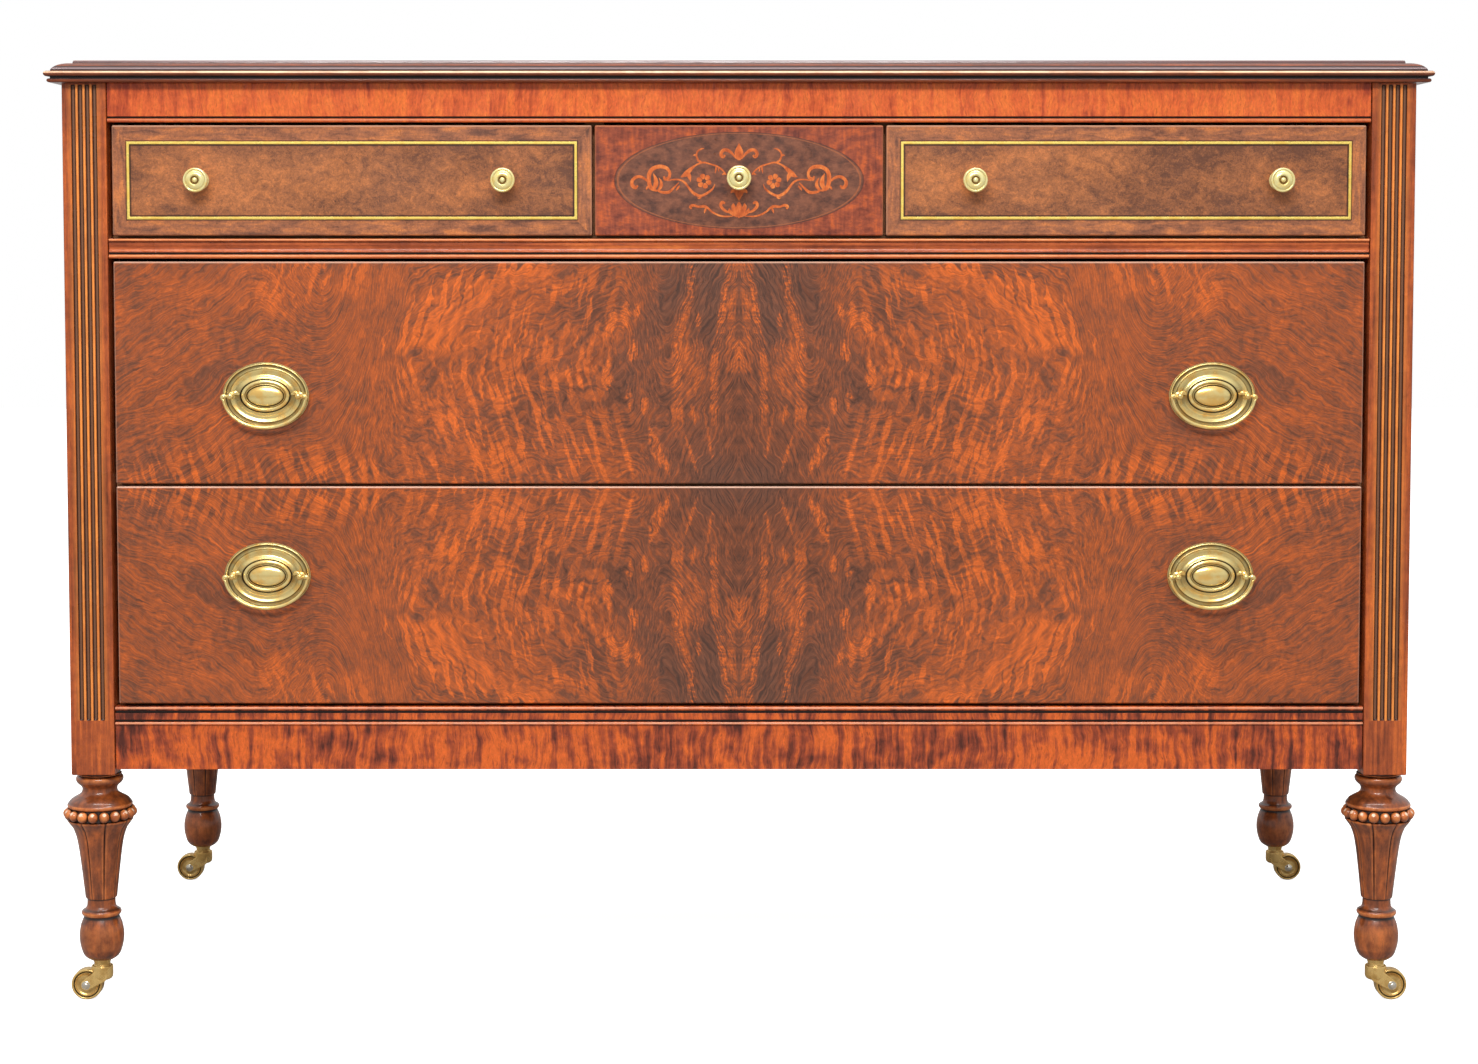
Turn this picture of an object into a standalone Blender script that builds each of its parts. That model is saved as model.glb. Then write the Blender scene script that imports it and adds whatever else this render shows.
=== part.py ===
"""Dresser with three small drawers over two long ones, on turned legs with brass casters.

Sizes are in metres and +Z is up. The front faces -Y. The origin is on the floor, under the middle
of the dresser's whole box. Heights are stacked up from the floor and down from the top board, and
depths are counted back from the front face of the corner posts.
"""

import math

import bmesh
import bpy

# Clearances
GAP = 0.0003                   # between two pieces that touch
GUIDE_GAP = 0.0006             # beside a drawer box that slides
FRONT_GAP = 0.0028             # open line above and below a drawer front
FRONT_SIDE_GAP = 0.0045        # open line between a drawer front and a post
SMALL_DRAWER_GAP = 0.003       # open line between two small drawers

# Case
HEIGHT = 0.8800                # floor to top board; the long drawers take what the rest leaves
CASE_WIDTH = 1.243             # across the posts
CASE_DEPTH = 0.535             # front face of the front posts to back face of the rear ones
POST_WIDTH = 0.0405
POST_DEPTH = 0.049
POST_EDGE = 0.0008             # broken corner of a post
POST_DROP = 0.0051             # how far the posts reach below the apron
FLUTE_COUNT = 4
FLUTE_WIDTH = 0.0048
FLUTE_PITCH = 0.0068
FLUTE_FOOT = 0.0512            # plain wood below the flutes
FLUTE_HEAD = 0.0025            # plain wood above the flutes
PANEL_THICKNESS = 0.018        # side panel
PANEL_INSET = 0.006            # side panel behind the posts' outer face
TONGUE = 0.008                 # depth and thickness of a side panel's tongue
BACK_THICKNESS = 0.008         # back panel, in a rabbet of the rear posts
BACK_LAP = 0.010               # back panel's bearing on a rear post

# Top board
TOP_THICKNESS = 0.0210
TOP_OVERHANG = 0.0135          # front and sides, at the bead
TOP_BACK_OVERHANG = 0.010
TOP_FIELD_INSET = 0.0214       # raised field's edge, in from the bead
TOP_FIELD_HEIGHT = 0.0026
TOP_BEAD = 0.0050              # thickness of the large bead
TOP_OVOLO_STEP = 0.0030        # flat ledge between ovolo and bead
TOP_RECESS_HEIGHT = 0.0018
TOP_RECESS_INSET = 0.0050
TOP_LOWER_BEAD = 0.0036

# Rails between the posts
RAIL_THICKNESS = 0.020
RAIL_SETBACK = 0.002           # rail faces behind the posts' face
TENON_THICKNESS = 0.008
TENON_LENGTH = 0.012
TENON_SHOULDER = 0.004         # rail left above and below a tenon
FRIEZE_HEIGHT = 0.0302         # flat above the groove and the bead
FRIEZE_GROOVE = 0.0018
FRIEZE_BEAD = 0.0036
WAIST_HEIGHT = 0.0183
WAIST_BEAD = 0.0038            # lower bead of the waist rail
WAIST_TOP_BEAD = 0.0030
APRON_HEIGHT = 0.0413
BASE_MOULDING_HEIGHT = 0.0179
BASE_BEAD = 0.0040             # bead along the top of the base moulding
BASE_LOWER_BEAD = 0.0035
GROOVE_DEPTH = 0.0022          # dark lines in the mouldings
WAIST_STEPS = 6                # equal steps between the waist rail's two beads
BASE_STEPS = 5                 # and between the base moulding's

# Frames and partitions behind the drawer fronts
BLADE_THICKNESS = 0.018
DUST_PANEL = 0.008             # thickness left inside a frame
FRAME_RAIL = 0.060             # width of the solid rails round a dust panel
GUIDE_HEIGHT = 0.012
PARTITION_THICKNESS = 0.018

# Drawers
SETBACK = 0.002                # drawer faces behind the posts' face
FRONT_THICKNESS = 0.020
FRONT_EDGE = 0.0010            # broken edge of a drawer front
SMALL_FRONT_HEIGHT = 0.1011
UPPER_FRONT_SHARE = 0.5033     # upper long front's share of the two long ones
CENTRE_FRONT_WIDTH = 0.265
SIDE_THICKNESS = 0.012
BOX_TOP_DROP = 0.008           # box side below the top of its front
DRAWER_BACK_GAP = 0.012        # free space behind a closed drawer
DRAWER_BACK_INSET = 0.003
DRAWER_BACK_DROP = 0.005
BOTTOM_THICKNESS = 0.006
BOTTOM_RAISE = 0.010           # bottom board above the box's lower edge
BOTTOM_GROOVE = 0.006
TAIL_LENGTH = 0.013            # dovetails of the sides, let into the front
TAIL_SLOPE = 1 / 7
TAIL_SPACING = 0.048
TAIL_SHARE = 0.28              # half a dovetail's neck as a share of the spacing

# Knobs
KNOB_DIAMETER = 0.0225
KNOB_PROJECTION = 0.0245
KNOB_FLANGE_DIAMETER = 0.018
KNOB_FLANGE_THICKNESS = 0.0030
KNOB_NECK_DIAMETER = 0.0085
KNOB_BUTTON_DIAMETER = 0.0052
KNOB_HEAD_THICKNESS = 0.0085
KNOB_SPREAD = 0.2804           # between the two knobs of a side drawer
CENTRE_KNOB_RISE = 0.0020      # centre drawer's knob above the middle of its front
SHANK_DIAMETER = 0.0044
SHANK_LENGTH = 0.012
KNOB_HEAD_BACK = 0.72          # head's back edge as a share of its diameter
KNOB_HEAD_FACE = 0.86          # head's face inside its round edge, the same way
KNOB_FLANGE_SHOULDER = 0.7     # flange's shoulder as a share of the flange
KNOB_BUTTON_SEAT = 1.6         # hollow round the button, as a share of the button

# Oval pulls
PLATE_WIDTH = 0.0796
PLATE_HEIGHT = 0.0620
PLATE_RIM = 0.0024             # height of the rim bead
PLATE_CROWN = 0.0044           # height of the medallion's ring
PLATE_SHOULDER = 0.0029        # height of the broad band's outer edge
PLATE_DISH = 0.0024            # height of the band where it is dished
PLATE_RIM_WIDTH = 0.0034
PLATE_STEP_WIDTH = 0.0030      # from the rim bead up to the band's outer edge
PLATE_STEP = 0.8               # lower edges of its mouldings as a share of their height
MEDAL_WIDTH = 0.0454
MEDAL_HEIGHT = 0.0305
MEDAL_RING = 0.0034            # width of the medallion's ring
MEDAL_CROWN = 0.0065           # height of its dome
PULL_INSET = 0.1395            # pull's middle in from the front's end
UPPER_PULL_RISE = 0.0815       # pulls' middle above the foot of the upper front
LOWER_PULL_RISE = 0.1197       # and of the lower front
PULL_POST_DIAMETER = 0.0036
PULL_EYE_DIAMETER = 0.0058
PULL_PROJECTION = 0.0110       # bail's axis ahead of the drawer face
BAIL_PIN_DIAMETER = 0.0018
BAIL_REACH = 0.0066            # bail's end beyond the post
BAIL_DROP = 0.0290
BAIL_DIAMETER = 0.0034         # at its lowest point
BAIL_END_DIAMETER = 0.0024
BAIL_BALL_DIAMETER = 0.0038

# Turned legs, from the foot up
LEG_INSET_FRONT = 0.026        # leg axis in from the post's front or back face
BARREL_HEIGHT = 0.0420
BARREL_DIAMETER = 0.0412
ANKLE_HEIGHT = 0.0096
ANKLE_DIAMETER = 0.0369
COLLAR_HEIGHT = 0.0074
COLLAR_DIAMETER = 0.0260
VASE_HEIGHT = 0.0760
VASE_FOOT_DIAMETER = 0.0292
VASE_TOP_DIAMETER = 0.0620
VASE_PETALS = 8
PETAL_DEPTH = 0.0011           # groove between two petals
BEAD_COUNT = 18
BEAD_DIAMETER = 0.0103
BEAD_RING_DIAMETER = 0.0577    # through the beads' centres
NECK_HEIGHT = 0.0203           # disc, hollow and neck above the beads
DISC_DIAMETER = 0.0600
NECK_DIAMETER = 0.0321
CAPITAL_HEIGHT = 0.0140
CAPITAL_DIAMETER = 0.0439
TENON_DIAMETER = 0.022
LEG_TENON = 0.030

# Outlines of the turnings, each row a share of the diameter and a share of the height
BARREL_SHAPE = ((0.52, 0.0), (0.79, 0.10), (0.96, 0.34), (1.0, 0.55), (0.93, 0.82), (0.79, 1.0))
DISC_SHAPE = ((0.94, 0.0), (1.0, 0.12), (0.95, 0.27))
NECK_SHAPE = ((1.45, 0.50), (1.0, 0.78), (1.0, 1.0))
CAPITAL_ROLL = 0.4             # radius of the capital's roll
CAPITAL_SHAPE = ((0.86, 0.84), (0.90, 1.0))
VASE_SHAPE = ((0.0, 0.0), (0.21, 0.43), (0.42, 0.73), (0.64, 0.88), (0.97, 1.0))    # of its flare
BEAD_LEVELS = (-0.94, 0.0, 0.94)            # rings through the beads, shares of their radius

# Casters
WHEEL_DIAMETER = 0.0290
WHEEL_WIDTH = 0.0120
WHEEL_SIDE_GAP = 0.0007
WHEEL_DISH = 0.0022            # hollow of the wheel's faces
WHEEL_RIM = 0.0026
CASTER_TRAIL = 0.0138
CHEEK_THICKNESS = 0.0022
CHEEK_END_DIAMETER = 0.0100
AXLE_DIAMETER = 0.0046
BOSS_DIAMETER = 0.0200
BOSS_TOP = 0.0322              # height of the swivel face above the floor
STEM_DIAMETER = 0.0078
STEM_LENGTH = 0.030
SOCKET_DIAMETER = 0.0114
SOCKET_COLLAR_DIAMETER = 0.0165
SOCKET_COLLAR_HEIGHT = 0.0050
SOCKET_DEPTH = 0.036
SOCKET_EDGE = 0.3              # height of the collar's chamfer, a share of the collar's height
BOSS_EDGE = 0.3                # chamfer under the boss, a share of its radius
CHEEK_ROOT = 0.33              # cheek's radius at the boss, a share of the boss's diameter
WHEEL_EDGE = 0.85              # half width of the tread, a share of the wheel's half width

# Fineness of round forms
LEG_COLUMNS = 16
BEAD_COLUMNS = 3               # columns of faces on one bead of the leg
ROUND_COLUMNS = 16             # a multiple of four, so that a wheel stands on a flat
BORE_COLUMNS = 12
SMALL_COLUMNS = 8
POST_COLUMNS = 6               # posts of the pulls
PLATE_COLUMNS = 16
BAIL_STEPS = 8
BAIL_SIDES = 6

# Heights, stacked up from the floor to the lower drawer and down from the top to the upper one
LEG_FOOT = BOSS_TOP + GAP + SOCKET_COLLAR_HEIGHT + GAP
LEG_HEIGHT = (BARREL_HEIGHT + ANKLE_HEIGHT + COLLAR_HEIGHT + VASE_HEIGHT + BEAD_DIAMETER
              + NECK_HEIGHT + CAPITAL_HEIGHT)
POST_FOOT = LEG_FOOT + LEG_HEIGHT + GAP
APRON_FOOT = POST_FOOT + POST_DROP
BASE_TOP = APRON_FOOT + APRON_HEIGHT + BASE_MOULDING_HEIGHT
TOP_FOOT = HEIGHT - TOP_THICKNESS
CASE_TOP = TOP_FOOT - GAP
FRIEZE_FOOT = CASE_TOP - FRIEZE_HEIGHT - FRIEZE_GROOVE - FRIEZE_BEAD
SMALL_TOP = FRIEZE_FOOT - FRONT_GAP
SMALL_FOOT = SMALL_TOP - SMALL_FRONT_HEIGHT
WAIST_TOP = SMALL_FOOT - FRONT_GAP
WAIST_FOOT = WAIST_TOP - WAIST_HEIGHT
UPPER_TOP = WAIST_FOOT - FRONT_GAP
LOWER_FOOT = BASE_TOP + FRONT_GAP
UPPER_FOOT = UPPER_TOP - UPPER_FRONT_SHARE * (UPPER_TOP - LOWER_FOOT - FRONT_GAP)
LOWER_TOP = UPPER_FOOT - FRONT_GAP
BLADE_FOOT = (LOWER_TOP + UPPER_FOOT - BLADE_THICKNESS) / 2
BLADE_TOP = BLADE_FOOT + BLADE_THICKNESS

# Depths, from the front face of the posts
FRONT_REACH = max(KNOB_PROJECTION - SETBACK, TOP_OVERHANG)
FRONT_Y = (FRONT_REACH - CASE_DEPTH - TOP_BACK_OVERHANG) / 2
BACK_Y = FRONT_Y + CASE_DEPTH
FACE_Y = FRONT_Y + SETBACK
FRONT_BACK_Y = FACE_Y + FRONT_THICKNESS
FRAME_Y = max(FRONT_BACK_Y, FRONT_Y + RAIL_SETBACK + RAIL_THICKNESS) + GAP
INNER_BACK_Y = BACK_Y - BACK_THICKNESS - GAP
BOX_BACK_Y = INNER_BACK_Y - DRAWER_BACK_GAP
REAR_POST_Y = BACK_Y - POST_DEPTH

# Widths, from the middle plane
HALF_CASE = CASE_WIDTH / 2
HALF_OPENING = HALF_CASE - POST_WIDTH
HALF_FRONTS = HALF_OPENING - FRONT_SIDE_GAP
PANEL_OUTER = HALF_CASE - PANEL_INSET
PANEL_INNER = PANEL_OUTER - PANEL_THICKNESS
HALF_CENTRE = CENTRE_FRONT_WIDTH / 2
PARTITION_X = HALF_CENTRE + SMALL_DRAWER_GAP / 2
LEG_X = HALF_CASE - POST_WIDTH / 2
PULL_X = HALF_FRONTS - PULL_INSET
PULL_POST_X = (MEDAL_WIDTH + PLATE_WIDTH) / 4

# Colours, roughness and metal share of each finish
FINISHES = {
    "mahogany": ((0.42, 0.15, 0.055), 0.32, 0.0),
    "moulding": ((0.46, 0.17, 0.06), 0.28, 0.0),
    "frieze_veneer": ((0.56, 0.13, 0.04), 0.30, 0.0),
    "crotch_veneer": ((0.34, 0.10, 0.035), 0.28, 0.0),
    "centre_veneer": ((0.32, 0.10, 0.05), 0.28, 0.0),
    "burl_veneer": ((0.27, 0.13, 0.075), 0.30, 0.0),
    "turned": ((0.22, 0.075, 0.035), 0.34, 0.0),
    "inner_wood": ((0.48, 0.33, 0.19), 0.65, 0.0),
    "polished_brass": ((0.83, 0.66, 0.28), 0.18, 1.0),
    "antique_brass": ((0.56, 0.42, 0.17), 0.30, 1.0),
}


# Meshes

def make_mesh(points, faces):
    """A closed mesh with its faces pointing out."""
    mesh = bpy.data.meshes.new("piece")
    mesh.from_pydata([tuple(p) for p in points], [], faces)
    work = bmesh.new()
    work.from_mesh(mesh)
    bmesh.ops.recalc_face_normals(work, faces=work.faces)
    work.to_mesh(mesh)
    work.free()
    return mesh


def strip(a, b):
    """Faces between two rings that start at the same angle, whatever their counts."""
    count_a, count_b = len(a), len(b)
    faces = []
    i = j = 0
    while i < count_a or j < count_b:
        step_a = (i + 1) * count_b
        step_b = (j + 1) * count_a
        here_a, here_b = a[i % count_a], b[j % count_b]
        next_a, next_b = a[(i + 1) % count_a], b[(j + 1) % count_b]
        if step_a == step_b:
            faces.append((here_a, next_a, next_b, here_b))
            i += 1
            j += 1
        elif step_a < step_b:
            faces.append((here_a, next_a, here_b))
            i += 1
        else:
            faces.append((here_a, next_b, here_b))
            j += 1
    return faces


def loft(rings):
    """A solid through rings of points. A ring of one point is a pole; other end rings are capped."""
    points, numbered = [], []
    for ring in rings:
        numbered.append(list(range(len(points), len(points) + len(ring))))
        points.extend(ring)
    faces = []
    for a, b in zip(numbered, numbered[1:]):
        if len(a) == 1:
            faces += [(a[0], b[(k + 1) % len(b)], b[k]) for k in range(len(b))]
        elif len(b) == 1:
            faces += [(a[k], a[(k + 1) % len(a)], b[0]) for k in range(len(a))]
        else:
            faces += strip(a, b)
    faces += [tuple(ring) for ring in (numbered[0], numbered[-1]) if len(ring) > 2]
    return make_mesh(points, faces)


def circle(radius, height, columns, start=0.0):
    """A level ring round the Z axis, or a single pole where the radius is nothing."""
    if radius < GAP / 10:
        return [(0.0, 0.0, height)]
    turn = 2 * math.pi / columns
    return [(radius * math.cos((k + start) * turn), radius * math.sin((k + start) * turn), height)
            for k in range(columns)]


def turned(profile, columns):
    """A solid of revolution round Z from (radius, height) points."""
    return loft([circle(radius, height, columns) for radius, height in profile])


def arc(centre, radii, start, end, steps):
    """Points on an ellipse's arc; angles in degrees from the first axis."""
    turns = [math.radians(start + (end - start) * k / steps) for k in range(steps + 1)]
    return [(centre[0] + radii[0] * math.cos(t), centre[1] + radii[1] * math.sin(t))
            for t in turns]


def prism_x(outline, x0, x1):
    """A (y, z) outline drawn out along X."""
    return loft([[(x, y, z) for y, z in outline] for x in (x0, x1)])


def prism_y(outline, y0, y1):
    """An (x, z) outline drawn out along Y."""
    return loft([[(x, y, z) for x, z in outline] for y in (y0, y1)])


def prism_z(outline, z0, z1):
    """An (x, y) outline drawn out along Z."""
    return loft([[(x, y, z) for x, y in outline] for z in (z0, z1)])


def box_points(low, high, grow=0.0):
    """The two rings of a box, grown on every side."""
    x0, y0, z0 = (value - grow for value in low)
    x1, y1, z1 = (value + grow for value in high)
    return [[(x0, y0, z), (x1, y0, z), (x1, y1, z), (x0, y1, z)] for z in (z0, z1)]


def box(low, high, grow=0.0):
    return loft(box_points(low, high, grow))


def rod_y(x, z, diameter, y0, y1, columns=SMALL_COLUMNS):
    """A round bar along Y."""
    return prism_y(arc((x, z), (diameter / 2, diameter / 2), 0, 360, columns)[:-1], y0, y1)


def rod_x(y, z, diameter, x0, x1, columns=SMALL_COLUMNS):
    """A round bar along X."""
    return prism_x(arc((y, z), (diameter / 2, diameter / 2), 0, 360, columns)[:-1], x0, x1)


# Objects

def finish_material(name, finish):
    colour, roughness, metallic = FINISHES[finish]
    material = bpy.data.materials.new(name)
    material.use_nodes = True
    shader = material.node_tree.nodes["Principled BSDF"]
    shader.inputs["Base Color"].default_value = (*colour, 1.0)
    shader.inputs["Roughness"].default_value = roughness
    shader.inputs["Metallic"].default_value = metallic
    return material


def place(name, mesh, finish, location=(0, 0, 0), turn_z=0.0, parent=None):
    """Adds a named piece; its location is in the world, whatever its parent."""
    piece = bpy.data.objects.new(name, mesh.copy())
    bpy.context.scene.collection.objects.link(piece)
    piece.data.materials.clear()
    piece.data.materials.append(finish_material(name, finish))
    piece.location = location
    piece.rotation_euler.z = turn_z
    if parent:
        piece.parent = parent
        piece.location = [a - b for a, b in zip(location, parent.location)]
    return piece


def pivot(name, location):
    """An empty that carries the pieces of one moving body."""
    empty = bpy.data.objects.new(name, None)
    bpy.context.scene.collection.objects.link(empty)
    empty.location = location
    return empty


def combine(mesh, others, operation):
    """A mesh joined with other meshes, or cut by them, one after another."""
    piece = bpy.data.objects.new("work", mesh)
    bpy.context.scene.collection.objects.link(piece)
    tools = []
    for other in others:
        tool = bpy.data.objects.new("tool", other)
        bpy.context.scene.collection.objects.link(tool)
        tool.hide_render = True
        tool.display_type = "WIRE"
        modifier = piece.modifiers.new(operation, "BOOLEAN")
        modifier.operation = operation
        modifier.solver = "EXACT"
        modifier.object = tool
        tools.append(tool)
    graph = bpy.context.evaluated_depsgraph_get()
    result = bpy.data.meshes.new_from_object(piece.evaluated_get(graph))
    for used in (piece, *tools):
        bpy.data.objects.remove(used)
    return result


def cut(mesh, cutters):
    return combine(mesh, cutters, "DIFFERENCE")


def join(mesh, others):
    return combine(mesh, others, "UNION")


def bevelled(mesh, width):
    """The mesh with its edges broken by a small flat."""
    work = bmesh.new()
    work.from_mesh(mesh)
    bmesh.ops.bevel(work, geom=work.edges, offset=width, segments=1, affect="EDGES")
    work.to_mesh(mesh)
    work.free()
    return mesh


def smooth(piece, angle=40):
    piece.data.shade_smooth()
    piece.data.set_sharp_from_angle(angle=math.radians(angle))
    return piece


# Top board

def top_profile():
    """The moulded edge as (inset from the bead, height), from the raised field down."""
    bead_top = TOP_FOOT + TOP_LOWER_BEAD + TOP_RECESS_HEIGHT + TOP_BEAD
    ledge = bead_top + TOP_BEAD / 10
    field = HEIGHT - TOP_FIELD_HEIGHT
    ovolo = arc((TOP_FIELD_INSET, ledge), (TOP_FIELD_INSET - TOP_OVOLO_STEP, field - ledge),
                90, 180, 5)
    bead = arc((TOP_BEAD / 2, bead_top - TOP_BEAD / 2), (TOP_BEAD / 2, TOP_BEAD / 2), 90, 270, 4)
    recess = TOP_FOOT + TOP_LOWER_BEAD
    lower_radius = TOP_LOWER_BEAD / 2
    lower = arc((TOP_BEAD / 2 + lower_radius, TOP_FOOT + lower_radius),
                (lower_radius, lower_radius), 90, 270, 3)
    return [(TOP_FIELD_INSET + TOP_FIELD_HEIGHT / 4, HEIGHT), *ovolo,
            (TOP_OVOLO_STEP, bead_top), *bead,
            (TOP_RECESS_INSET, bead_top - TOP_BEAD), (TOP_RECESS_INSET, recess), *lower]


def top_ring(inset, height):
    half = HALF_CASE + TOP_OVERHANG - inset
    front = FRONT_Y - TOP_OVERHANG + inset
    back = BACK_Y + TOP_BACK_OVERHANG
    return [(-half, front, height), (half, front, height), (half, back, height),
            (-half, back, height)]


def add_top():
    place("top", loft([top_ring(*point) for point in top_profile()]), "mahogany")


# Rails

def bead_points(depth, foot, height, steps=3):
    """A half round that stands forward, from its foot up; y is counted back from the posts."""
    return arc((depth + height / 2, foot + height / 2), (height / 2, height / 2), 270, 90, steps)


def frieze_profile():
    foot = FRIEZE_FOOT
    groove = foot + FRIEZE_BEAD
    deep = RAIL_SETBACK + GROOVE_DEPTH
    return [*bead_points(RAIL_SETBACK / 2, foot, FRIEZE_BEAD), (deep, groove),
            (deep, groove + FRIEZE_GROOVE), (RAIL_SETBACK, groove + FRIEZE_GROOVE),
            (RAIL_SETBACK, CASE_TOP)]


def waist_profile():
    """Bead, groove, step, hollow, fillet and bead, from the foot up."""
    low = WAIST_FOOT + WAIST_BEAD
    high = WAIST_TOP - WAIST_TOP_BEAD
    unit = (high - low) / WAIST_STEPS
    deep = RAIL_SETBACK + GROOVE_DEPTH
    hollow = arc((RAIL_SETBACK / 2, (low + high) / 2), (GROOVE_DEPTH, 3 * unit / 2), -60, 60, 3)
    return [*bead_points(RAIL_SETBACK / 2, WAIST_FOOT, WAIST_BEAD), (deep, low),
            (deep, low + unit), (RAIL_SETBACK, low + unit), *hollow,
            (RAIL_SETBACK, high - unit), (RAIL_SETBACK, high),
            *bead_points(RAIL_SETBACK / 2, high, WAIST_TOP_BEAD)]


def apron_profile():
    """The flat apron with the base moulding along its top, from the foot up."""
    foot = APRON_FOOT + APRON_HEIGHT
    low = foot + BASE_LOWER_BEAD
    high = BASE_TOP - BASE_BEAD
    unit = (high - low) / BASE_STEPS
    deep = RAIL_SETBACK + GROOVE_DEPTH
    face = RAIL_SETBACK + RAIL_SETBACK / 2
    return [(face, APRON_FOOT), (face, foot),
            *bead_points(RAIL_SETBACK / 2, foot, BASE_LOWER_BEAD), (deep, low),
            (deep, low + unit), (RAIL_SETBACK, low + unit), (RAIL_SETBACK, high - unit),
            (deep, high - unit), (deep, high), *bead_points(RAIL_SETBACK / 2, high, BASE_BEAD)]


def tenon_box(side, foot, top, grow=0.0):
    """The tenon at one end of a rail; grown, it is the mortise in the post."""
    middle = FRONT_Y + RAIL_SETBACK + TENON_THICKNESS
    inner = HALF_OPENING - TENON_SHOULDER
    outer = HALF_OPENING + TENON_LENGTH
    low_x, high_x = sorted((side * inner, side * outer))
    return box((low_x, middle - TENON_THICKNESS / 2, foot + TENON_SHOULDER),
               (high_x, middle + TENON_THICKNESS / 2, top - TENON_SHOULDER), grow)


RAILS = {
    "frieze_rail": (frieze_profile, FRIEZE_FOOT, CASE_TOP, "frieze_veneer"),
    "waist_rail": (waist_profile, WAIST_FOOT, WAIST_TOP, "moulding"),
    "apron": (apron_profile, APRON_FOOT, BASE_TOP, "frieze_veneer"),
}


def add_rails():
    back = FRONT_Y + RAIL_SETBACK + RAIL_THICKNESS
    half = HALF_OPENING - GAP
    for name, (profile, foot, top, finish) in RAILS.items():
        outline = [(FRONT_Y + depth, height) for depth, height in profile()]
        outline += [(back, top), (back, foot)]
        rail = prism_x(outline, -half, half)
        tenons = [tenon_box(side, foot, top) for side in (-1, 1)]
        place(name, join(rail, tenons), finish)


# Posts, panels and frames

def flute_cutters(middle):
    """Round-ended bars whose front halves stand out of the post's face."""
    radius = FLUTE_WIDTH / 2
    foot, head = POST_FOOT + FLUTE_FOOT, CASE_TOP - FLUTE_HEAD
    profile = [(max(x, 0), z) for x, z in arc((0, foot + radius), (radius, radius), -90, 0, 2)]
    profile += [(max(x, 0), z) for x, z in arc((0, head - radius), (radius, radius), 0, 90, 2)]
    cutters = []
    for k in range(FLUTE_COUNT):
        x = middle + (k - (FLUTE_COUNT - 1) / 2) * FLUTE_PITCH
        bar = turned(profile, SMALL_COLUMNS)
        for vertex in bar.vertices:
            vertex.co.x += x
            vertex.co.y += FRONT_Y
        cutters.append(bar)
    return cutters


def leg_hole(x, y):
    """The blind hole for a leg's tenon in a post's foot."""
    hole = turned([(0, -GAP), (TENON_DIAMETER / 2 + GAP, -GAP),
                   (TENON_DIAMETER / 2 + GAP, LEG_TENON + 2 * GAP), (0, LEG_TENON + 2 * GAP)],
                  SMALL_COLUMNS)
    for vertex in hole.vertices:
        vertex.co.x += x
        vertex.co.y += y
        vertex.co.z += POST_FOOT
    return hole


def leg_places():
    """Name, x and y of the four legs' axes."""
    front = FRONT_Y + LEG_INSET_FRONT
    rear = BACK_Y - LEG_INSET_FRONT
    return [(f"{row}_{side}", sign * LEG_X, y) for row, y in (("front", front), ("rear", rear))
            for side, sign in (("left", -1), ("right", 1))]


def tongue_box(side, grow=0.0):
    """A side panel's tongued core, from groove bottom to groove bottom."""
    middle = (PANEL_OUTER + PANEL_INNER) / 2
    low_x, high_x = sorted((side * (middle - TONGUE / 2), side * (middle + TONGUE / 2)))
    return box((low_x, FRONT_Y + POST_DEPTH - TONGUE, APRON_FOOT),
               (high_x, REAR_POST_Y + TONGUE, CASE_TOP + 2 * grow), grow)


def back_box(grow=0.0):
    half = HALF_OPENING + BACK_LAP
    return box((-half, BACK_Y - BACK_THICKNESS, APRON_FOOT), (half, BACK_Y, CASE_TOP + 2 * grow),
               grow)


def add_posts():
    for name, x, y in leg_places():
        side = math.copysign(1, x)
        front = y < 0
        low_x, high_x = sorted((side * HALF_OPENING, side * HALF_CASE))
        low_y = FRONT_Y if front else REAR_POST_Y
        post = bevelled(box((low_x, low_y, POST_FOOT), (high_x, low_y + POST_DEPTH, CASE_TOP)),
                        POST_EDGE)
        cutters = [leg_hole(x, y), tongue_box(side, GAP)]
        if front:
            cutters += flute_cutters(side * (HALF_OPENING + POST_WIDTH / 2))
            cutters += [tenon_box(side, foot, top, GAP) for _, foot, top, _ in RAILS.values()]
        else:
            cutters.append(back_box(GAP))
        row, hand = name.split("_")
        place(f"{row}_post_{hand}", cut(post, cutters), "mahogany")


def add_panels():
    for hand, side in (("left", -1), ("right", 1)):
        low_x, high_x = sorted((side * PANEL_INNER, side * PANEL_OUTER))
        field = box((low_x, FRONT_Y + POST_DEPTH + GAP, APRON_FOOT),
                    (high_x, REAR_POST_Y - GAP, CASE_TOP))
        place(f"side_panel_{hand}", join(field, [tongue_box(side)]), "mahogany")
    place("back_panel", back_box(), "inner_wood")


def frame_outline():
    """A frame's plan, notched round the four posts."""
    wide, narrow = PANEL_INNER - GAP, HALF_OPENING - GAP
    notch_front = FRONT_Y + POST_DEPTH + GAP
    notch_back = REAR_POST_Y - GAP
    right = [(narrow, FRAME_Y), (narrow, notch_front), (wide, notch_front), (wide, notch_back),
             (narrow, notch_back), (narrow, INNER_BACK_Y)]
    return right + [(-x, y) for x, y in reversed(right)]


def guide_strips(top):
    """Strips beside the drawer boxes, rooted in the frame and standing on it."""
    inner = HALF_FRONTS + GUIDE_GAP
    strips = []
    for side in (-1, 1):
        low_x, high_x = sorted((side * inner, side * (PANEL_INNER - 2 * GAP)))
        strips.append(box((low_x, FRONT_Y + POST_DEPTH + 2 * GAP, top - DUST_PANEL / 2),
                          (high_x, REAR_POST_Y - 2 * GAP, top + GUIDE_HEIGHT)))
    return strips


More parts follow.
